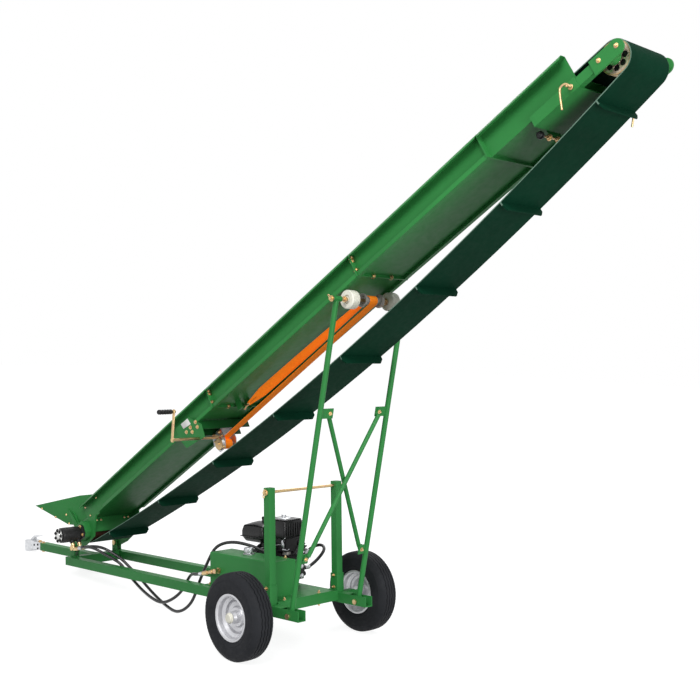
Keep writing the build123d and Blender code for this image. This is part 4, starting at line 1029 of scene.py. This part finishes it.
# Hydraulic motor on its boxed mount, with its end cover
motorShape = {"axis": (-184, 22), "mountFrom": 156, "mountFace": 198, "flangeFace": 214, "endFace": 345,
              "mount": [(-244, 4), (-244, 66), (-222, 84), (-146, 84), (-130, 66), (-130, 0), (-148, -20),
                        (-222, -20)],
              "flange": [(-54, -22), (-54, 22), (-36, 42), (36, 42), (54, 22), (54, -22), (36, -42),
                         (-36, -42)],
              "flangeBolts": (40, 26),
              "body": [(0, 213), (40, 213), (40, 226), (45, 228), (45, 333), (43, 336), (40, 337),
                       (40, 345), (0, 345)],
              "ports": (225, 269), "portDrop": 20,
              "port": [(0, -38), (13, -38), (13, -30), (16, -28), (16, 0), (0, 0)],
              "cover": [(0, -1), (38, -1), (39, 0), (39, 3), (37, 5), (27, 5), (25, 3), (18, 3), (16, 6),
                        (0, 6)],
              "coverBolts": 7, "boltFace": 349, "boltRing": 32, "bandsAt": (245, 249, 289, 299, 309, 319),
              "band": [(44, -1.5), (45.8, -1.5), (45.8, 1.5), (44, 1.5), (44, -1.5)]}


def makeMotor():
    m = motorShape
    u, w = m["axis"]
    mount = plate(m["mount"], m["mountFrom"], m["mountFace"], 1.6)
    fit(mount, "motor_mount", "conveyor", "green_paint")
    flange = plate([(u + a, w + b) for a, b in m["flange"]], m["mountFace"], m["flangeFace"], 2)
    body = moved(turned(m["body"], 44, left), (u, 0, w))
    ports = [moved(turned(m["port"], 24), (u, y, w - m["portDrop"])) for y in m["ports"]]
    fit(joined([flange, body] + ports), "motor_body", "conveyor", "cast_black", 35, ("hydraulic_motor",))
    a, b = m["flangeBolts"]
    spots = [(u + da, m["flangeFace"], w + db) for da in (-a, a) for db in (-b, b)]
    scatter("motor_flange_bolts", boltM8, facing(left, spots), "conveyor")
    fit(moved(turned(m["cover"], 42, left), (u, m["endFace"], w)), "motor_cover", "conveyor", "machinedFace")
    r = m["boltRing"]
    ring = [(u + r * math.cos(turn), m["boltFace"], w + r * math.sin(turn))
            for turn in around(m["coverBolts"])]
    scatter("motor_cover_bolts", boltM8, facing(left, ring), "conveyor", "black_paint")
    bands = [moved(turned(m["band"], 40, left), (u, at, w)) for at in m["bandsAt"]]
    fit(joined(bands), "motor_bands", "conveyor", "cast_black")


makeMotor()


# Head drum: black plates inside and black backs behind the zinc discs' eight holes, painted shade that makes
# the holes dark
headDrum = {"axis": (-4476, 36), "screenFace": 124,
            "screen": [(15, 0), (60.5, 0), (60.5, 1.5), (30, 4), (15, 1.5), (15, 0)],
            "discFace": 131.1, "holes": 8, "ring": 40, "hole": 12.5,
            "disc": [(14.8, 0.6), (60.6, 0.6), (60.6, 2.6), (24, 2.6), (22, 6), (14.8, 6), (14.8, 0.6)],
            "back": [(14.9, 0.1), (60.4, 0.1), (60.4, 0.5), (14.9, 0.5), (14.9, 0.1)]}


def makeHeadDrum():
    h = headDrum
    u, w = h["axis"]
    # Black plates inside the drum's ends: painted shade, seen through the disc holes
    paintedShadeInside = [moved(turned(h["screen"], 40, left), (u, s * h["screenFace"], w)) for s in (1, -1)]
    fit(joined(paintedShadeInside), "drum_painted_shade_plates", "conveyor", "black_paint")
    disc = turned(h["disc"], 64, left)
    drills = []
    for turn in around(h["holes"], 0.5):
        drill = turned([(0, -3), (h["hole"], -3), (h["hole"], 9), (0, 9)], 20, left)
        drills.append(moved(drill, (h["ring"] * math.cos(turn), 0, h["ring"] * math.sin(turn))))
    drill = joined(drills)
    cut = disc.modifiers.new("discHoles", "BOOLEAN")
    cut.object = drill
    cut.operation = "DIFFERENCE"
    applyAll(disc)
    remove(drill)
    # Black backs right behind the discs: painted shade in the holes
    paintedShadeBack = turned(h["back"], 48, left)
    for piece, name, look in ((paintedShadeBack, "head_disc_painted_shade_backs", "black_paint"),
                              (disc, "head_disc_faces", "pinkZinc")):
        moved(piece, (u, h["discFace"], w))
        fit(joined([piece, mirrored(piece)]), name, "conveyor", look, 30)


makeHeadDrum()
labelPlate = {"outline": [(-1412, 92), (-1484, 84), (-1472, 124), (-1402, 126)], "y0": 168.6, "y1": 169.6}
label = plate(labelPlate["outline"], labelPlate["y0"], labelPlate["y1"], 0.2)
fit(label, "blank_label", "conveyor", "paleLabel")
print("conveyor trims made")


# Frame bolts, welds and the rest rod's clips
frameBolts = (facing(up, [(-25, 150, 251), (-22, -84, 251), (575, 150, 251), (575, -150, 251)])
              + facing(down, [(-22, -84, 197), (-22, 84, 197)])
              + facing(left, [(-9, 250, 318), (-9, 250, 256)])
              + facing(right, [(-9, -250, 318), (-9, -250, 256)])
              + facing(left, [(-9, -202, 322), (-9, -202, 262)])
              + facing(right, [(-9, 202, 322)])
              + facing(up, [(112, 22, 425)]))
scatter("frame_bolts", nutM8, frameBolts, "frame")
weldRuns = {"eachSide": [((10, 202, 247), (10, 152, 247)), ((10, 202, 197), (10, 202, 247)),
                         ((1940, 152, 247), (1990, 152, 247)), ((1940, 152, 197), (1940, 152, 247)),
                         ((70, 202, 237), (70, 202, 197)), ((-33, 250, 237), (15, 250, 237)),
                         ((-33, 202, 237), (15, 202, 237)), ((15, 202, 237), (15, 250, 237))],
            "middle": [((1990, -25, 247), (1990, 25, 247)), ((1990, 25, 247), (1990, 25, 197)),
                       ((1990, -25, 247), (1990, -25, 197)), ((49, 8, 251), (49, 160, 251)),
                       ((49, 160, 251), (560, 160, 251)), ((560, 8, 251), (560, 160, 251))]}
restClip = {"wire": [(-9, 2, 802), (-9, 2, 790), (-9, 3, 766), (-5, 8, 757), (2, 9, 764), (-2, 7, 774),
                     (-7, 8, 786), (-4, 8, 796)], "y": 252, "radius": 2.2, "nutSpot": (-9, 246, 784),
            "nut": [(0, 0), (13, 0), (13, 4), (9, 5), (9, 12), (6, 14), (0, 14)]}


def makeWelds():
    beads = []
    for s in (1, -1):
        beads += [weldBead((a, s * b, c), (d, s * e, f)) for (a, b, c), (d, e, f) in weldRuns["eachSide"]]
    beads += [weldBead(*run) for run in weldRuns["middle"]]
    fit(joined(beads), "frame_welds", "frame", "green_paint", 60)


def makeRestClips():
    x, y, z = restClip["nutSpot"]
    clips = []
    for s in (1, -1):
        wire = [(a, s * (restClip["y"] + b), c) for a, b, c in restClip["wire"]]
        clips.append(rod(wire, restClip["radius"], 3))
        clips.append(aim(turned(restClip["nut"], 20), (x, s * y, z), (0, s, 0)))
    fit(joined(clips), "rest_clips", "frame", "zinc", 45)


makeWelds()
makeRestClips()
couplerBolts = facing(up, [(2618, 10, 247)]) + facing(down, [(2618, 10, 197)]) + facing(up, [(2682, 0, 249)])
scatter("coupler_bolts", boltM10, couplerBolts, "frame")
print("frame trims made")


# Carburettor with its throttle linkage
carburettor = {"spot": (257, -112, 0), "coil": (206, -62, 445), "coilTurns": 18, "coilSteps": 8,
               "coilRadius": 4, "coilLead": 1.3,
               "bowl": [(0, 402), (5, 402), (6, 406), (19, 408), (22, 412), (22, 428), (25, 430),
                        (25, 433), (0, 433)],
               "hook": [(206, -62, 445), (190, -62, 440), (186, -70, 452)],
               "rods": [([(230, -62, 470), (300, -58, 462), (372, -60, 440), (420, -62, 432)], 1.8),
                        ([(222, -66, 488), (222, -58, 492), (204, -52, 506), (196, -50, 508)], 2.4)],
               "lever": [(222, 452), (238, 456), (240, 488), (230, 494), (220, 470)],
               "leverFaces": (-66, -62)}


def makeCarburettor():
    c = carburettor
    fit(moved(turned(c["bowl"], 30), c["spot"]), "carburettor_bowl", "frame", "greyCast")
    x, y, z = c["coil"]
    r, lead, steps = (c[key] for key in ("coilRadius", "coilLead", "coilSteps"))
    coil = []
    for i in range(steps * c["coilTurns"] + 1):
        turn = math.tau * i / steps
        coil.append((x + lead * i / steps, y + r * math.cos(turn), z + r * math.sin(turn)))
    links = [rod(c["hook"], 1.3), rod(coil, 0.9, 1, "POLY")]
    links += [rod(points, radius) for points, radius in c["rods"]]
    links.append(plate(c["lever"], *c["leverFaces"], 0.6))
    fit(joined(links), "throttle_linkage", "frame", "brightZinc", 50)


# Air cleaner box, narrower at its foot, with its round lid
airCleaner = {"low": (190, -172, 500), "high": (345, -40, 600), "middle": (268, -106), "round": 11,
              "taper": 0.1, "ribs": 7, "rib": [(186, -160, 516), (192, -153, 584)], "ribPitch": 16,
              "ribSlant": 0.5, "lid": [(0, 0), (34, 0), (38, -1), (38, 3), (32, 5.5), (0, 6.5)], 
              "lidAt": 599.5,
              "nut": [(0, 0), (7, 0), (8, 3), (7, 8), (3, 12), (0, 12)], "nutAt": 605,
              "nutWing": [(5, 4), (17, 6), (19, 14), (13, 17), (5, 10)], "wingHalf": 1.6}


def makeAirCleaner():
    c = airCleaner
    x, y = c["middle"]
    top = c["high"][2]
    shell = block(c["low"], c["high"])
    pickFaces(shell, lambda face: face.normal.z > 0.9)
    bpy.ops.mesh.inset(thickness=c["round"])
    bpy.ops.mesh.select_all(action="SELECT")
    bpy.ops.mesh.bevel(offset=c["round"], segments=4, affect="EDGES")
    leaveEdit()
    for vertex in shell.data.vertices:
        low = (top - vertex.co.z) / (top - c["low"][2])
        vertex.co.x += (vertex.co.x - x) * -c["taper"] * low
        vertex.co.y += (vertex.co.y - y) * -c["taper"] * low
    lid = moved(turned(c["lid"], 36), (x, y, c["lidAt"]))
    fit(shell, "air_cleaner_shell", "frame", "black_paint", 40, ("engine_air_cleaner",))
    fit(lid, "air_cleaner_lid", "frame", "brightZinc")
    (x0, y0, z0), (x1, y1, z1) = c["rib"]
    ribs = []
    for i in range(c["ribs"]):
        step = c["ribPitch"] * i
        ribs.append(block((x0 + c["ribSlant"] * i, y0 + step, z0), (x1, y1 + step, z1), 2))
    fit(joined(ribs), "air_cleaner_ribs", "frame", "black_plastic")


def makeAirCleanerNut():
    c = airCleaner
    spot = (*c["middle"], c["nutAt"])
    half = c["wingHalf"]
    nut = [moved(turned(c["nut"], 18), spot)]
    for s in (1, -1):
        nut.append(moved(plate([(s * a, b) for a, b in c["nutWing"]], -half, half, 0.6), spot))
    fit(joined(nut), "air_cleaner_nut", "frame", "brightZinc")


# Fuel tank, crowned on top and drawn in below, with its seam and cap
fuelTank = {"low": (371, -190, 461), "high": (545, -40, 551), "middle": (458, -115), "half": (87, 75),
            "crownFrom": 520, "crownHeight": 31, "crown": 20, "topIn": 8, "footTo": 490,
            "footHeight": 29, "footIn": 16, "corner": 9, "seam": [(366, -195, 488), (550, -35, 493)],
            "capSpot": (438, -133, 0), "capTop": 593,
            "cap": [(0, 560), (24, 560), (24, 566), (28, 568), (28, 590), (25, 593), (0, 593)],
            "capRibs": 20, "capRib": [(26.5, -2, -14), (29.2, 2, -1)]}


def makeFuelTank():
    t = fuelTank
    tank = block(t["low"], t["high"])
    editAll(tank)
    bpy.ops.mesh.subdivide(number_cuts=5)
    leaveEdit()
    for vertex in tank.data.vertices:
        x, y, z = vertex.co
        side = (x - t["middle"][0]) / t["half"][0]
        across = (y - t["middle"][1]) / t["half"][1]
        if z > t["crownFrom"]:
            rise = z - t["crownFrom"]
            vertex.co.z += t["crown"] * (1 - side * side) * (1 - across * across) * rise / t["crownHeight"]
            vertex.co.x -= t["topIn"] * side * rise / t["crownHeight"]
            vertex.co.y -= t["topIn"] * across * rise / t["crownHeight"]
        if z < t["footTo"]:
            drop = t["footTo"] - z
            vertex.co.x -= t["footIn"] * side * drop / t["footHeight"]
            vertex.co.y -= t["footIn"] * across * drop / t["footHeight"]
    edge = tank.modifiers.new("tankCorners", "BEVEL")
    edge.width = t["corner"]
    edge.segments = 3
    edge.limit_method = "ANGLE"
    edge.angle_limit = math.radians(50)
    applyAll(tank)
    seam = block(*t["seam"], 1.4)
    cap = moved(turned(t["cap"], 36), t["capSpot"])
    fit(joined([tank, seam, cap]), "fuel_tank_shell", "frame", "black_paint", 40, ("engine_fuel_tank",))


def makeFuelCapRibs():
    x, y, z = fuelTank["capSpot"]
    ribs = []
    for turn in around(fuelTank["capRibs"]):
        rib = block(*fuelTank["capRib"], 0.6, 1)
        rib.data.transform(shift((x, y, fuelTank["capTop"])) @ Matrix.Rotation(turn, 4, "Z"))
        ribs.append(rib)
    fit(joined(ribs), "fuel_cap_ribs", "frame", "black_plastic")


# Cylinder fins, spark plug, recoil grip and the engine's and valve's bolts
engineTrim = {"cylinder": (0, -186, 404), "fins": 13, "fin": [(246, -1.3, 18), (277, 1.3, 76)],
              "finsFrom": 75, "finStep": 15, "hub": [(0, 0), (19, 0), (19, 24), (12, 30), (0, 30)],
              "hubSpot": (277, -186, 404),
              "plug": [(0, 0), (9, 0), (9, 8), (6, 10), (6, 24), (10, 26), (10, 42), (7, 48), (0, 48)],
              "plugSpot": (280, -200, 446), "plugWay": (-1, 0.25, 0.35),
              "lead": [(234, -190, 462), (214, -180, 470), (205, -150, 452), (220, -120, 400),
                       (290, -70, 392)], "leadRadius": 3.4,
              "grip": [(496, -178, 330), (516, -112, 352)], "gripRound": 8,
              "rope": [(494, -145, 344), (506, -145, 341)], "ropeRadius": 3,
              "cowl": (487, -145, 359), "cowlBolts": 5, "cowlRing": 84,
              "backBolts": [(277, -100, 290), (277, -190, 290), (277, -100, 390), (277, -190, 390)],
              "sideBolts": [(300, -61, 300), (420, -61, 300), (300, -61, 395), (420, -61, 395)],
              "valveBolts": [(53, -14, 382), (53, -38, 382), (53, -14, 334), (53, -38, 334)],
              "oilFiller": [(330, -61, 330), (330, -48, 338), (330, -44, 346)], "fillerRadius": 7}


def makeFins():
    e = engineTrim
    fins = []
    for i in range(e["fins"]):
        fin = block(*e["fin"], 0.5, 1)
        turn = math.radians(e["finsFrom"] - e["finStep"] * i)
        fin.data.transform(shift(e["cylinder"]) @ Matrix.Rotation(turn, 4, "X"))
        fins.append(fin)
    fins.append(aim(turned(e["hub"], 26), e["hubSpot"], back))
    fit(joined(fins), "cooling_fins", "frame", "finGrey", 30)


def makeEngineTrims():
    e = engineTrim
    plug = aim(turned(e["plug"], 20), e["plugSpot"], e["plugWay"])
    fit(joined([plug, rod(e["lead"], e["leadRadius"], 3)]), "plug_and_lead", "frame", "black_plastic", 50)
    pull = block(*e["grip"], e["gripRound"], 4)
    rope = rod(e["rope"], e["ropeRadius"], 3, "POLY")
    fit(joined([pull, rope]), "recoil_grip", "frame", "black_plastic", 50)
    x, y, z = e["cowl"]
    r = e["cowlRing"]
    ring = [(x, y + r * math.cos(turn), z + r * math.sin(turn)) for turn in around(e["cowlBolts"], 0.5)]
    spots = facing(forward, ring) + facing(back, e["backBolts"]) + facing(left, e["sideBolts"])
    scatter("engine_bolts", boltM8, spots, "frame", "brightZinc")
    scatter("valve_bolts", boltM8, facing(back, e["valveBolts"]), "frame", "brightZinc")
    filler = rod(e["oilFiller"], e["fillerRadius"], 4, "POLY")
    fit(filler, "oil_filler", "frame", "black_plastic", 40)


makeCarburettor()
makeAirCleaner()
makeFuelTank()
makeFins()
makeAirCleanerNut()
makeFuelCapRibs()
makeEngineTrims()
print("engine trims made")


# Bolts of the leg braces, which lap on the rear at one end and on the front at the other, and coupler rivets
braceEnds = {"up": (163, 991), "low": (191, 279), "tab": 2.5, "lapped": 8.5}
couplerRivets = {"spots": [(2668, 232), (2668, 206), (2716, 226), (2752, 222)], "y": 26}
spots = []
for (y, z), nearLapped in ((braceEnds["up"], False), (braceEnds["low"], True)):
    for s in (1, -1):
        rear, front = braceEnds["tab"], braceEnds["lapped"]
        if nearLapped == (s > 0):
            rear, front = front, rear
        spots += [((-rear, s * y, z), back), ((front, s * y, z), forward)]
scatter("brace_bolts", nutM8, spots, "lift_legs")
spots = [((x, s * couplerRivets["y"], z), (0, s, 0)) for x, z in couplerRivets["spots"] for s in (1, -1)]
scatter("coupler_rivets", domeM8, spots, "frame", "black_paint")
remove(boltM8, boltM10, nutM10, nutM8, domeM8)
print("brace bolts and rivets made")


# Floor, backdrop and lights
studio = {"floorSize": 60, "bounce": 0.3, "seenWhite": 0.86, "worldColour": (0.95, 0.97, 1.0),
          "worldStrength": 0.62,
          "lamps": {"keyLight": ((-3.5, 5.5, 6.5), 4.0, 440), "fillLight": ((-6.0, 1.5, 1.3), 3.0, 190),
                    "rimLight": ((3.0, -4.5, 6.0), 3.0, 150)}, "aimAt": (0, 0, 1.1)}


def seenByCamera(tree):
    path = tree.nodes.new("ShaderNodeLightPath")
    total = path.outputs["Is Camera Ray"]
    for ray in ("Is Glossy Ray", "Is Transmission Ray"):
        add = tree.nodes.new("ShaderNodeMath")
        add.operation = "MAXIMUM"
        tree.links.new(total, add.inputs[0])
        tree.links.new(path.outputs[ray], add.inputs[1])
        total = add.outputs["Value"]
    return total


def makeFloor():
    paper = Finish("paperFloor", 0.95)
    grey = studio["bounce"]
    paper.colour(paper.ramp(paper.noise(3, 3), (0.3, grey * 0.985), (0.7, grey)))
    paper.constant("Specular IOR Level", 0)
    paper.constant("Emission Color", (1, 1, 1, 1))
    glow = paper.tree.nodes.new("ShaderNodeMath")
    glow.operation = "MULTIPLY"
    glow.inputs[1].default_value = studio["seenWhite"]
    paper.link(seenByCamera(paper.tree), glow.inputs[0])
    paper.link(glow.outputs["Value"], paper.shader.inputs["Emission Strength"])
    clear()
    bpy.ops.mesh.primitive_plane_add(size=studio["floorSize"])
    floor = bpy.context.object
    floor.name = "studioFloor"
    floor.data.materials.append(paper.done())


def makeWorld():
    world = bpy.data.worlds.new("paleWorld")
    bpy.context.scene.world = world
    world.use_nodes = True
    tree = world.node_tree
    soft = tree.nodes["Background"]
    soft.inputs["Color"].default_value = (*studio["worldColour"], 1)
    soft.inputs["Strength"].default_value = studio["worldStrength"]
    white = tree.nodes.new("ShaderNodeBackground")
    white.inputs["Color"].default_value = (1, 1, 1, 1)
    white.inputs["Strength"].default_value = 1
    pick = tree.nodes.new("ShaderNodeMixShader")
    tree.links.new(seenByCamera(tree), pick.inputs["Fac"])
    tree.links.new(soft.outputs["Background"], pick.inputs[1])
    tree.links.new(white.outputs["Background"], pick.inputs[2])
    tree.links.new(pick.outputs["Shader"], tree.nodes["World Output"].inputs["Surface"])


def makeLights():
    for name, (spot, size, power) in studio["lamps"].items():
        lamp = bpy.data.lights.new(name, "AREA")
        lamp.energy = power
        lamp.size = size
        holder = bpy.data.objects.new(name, lamp)
        bpy.context.collection.objects.link(holder)
        holder.location = spot
        holder.rotation_euler = (Vector(studio["aimAt"]) - Vector(spot)).to_track_quat("-Z", "Y").to_euler()


makeFloor()
makeWorld()
makeLights()
bpy.context.scene.view_settings.view_transform = "Standard"
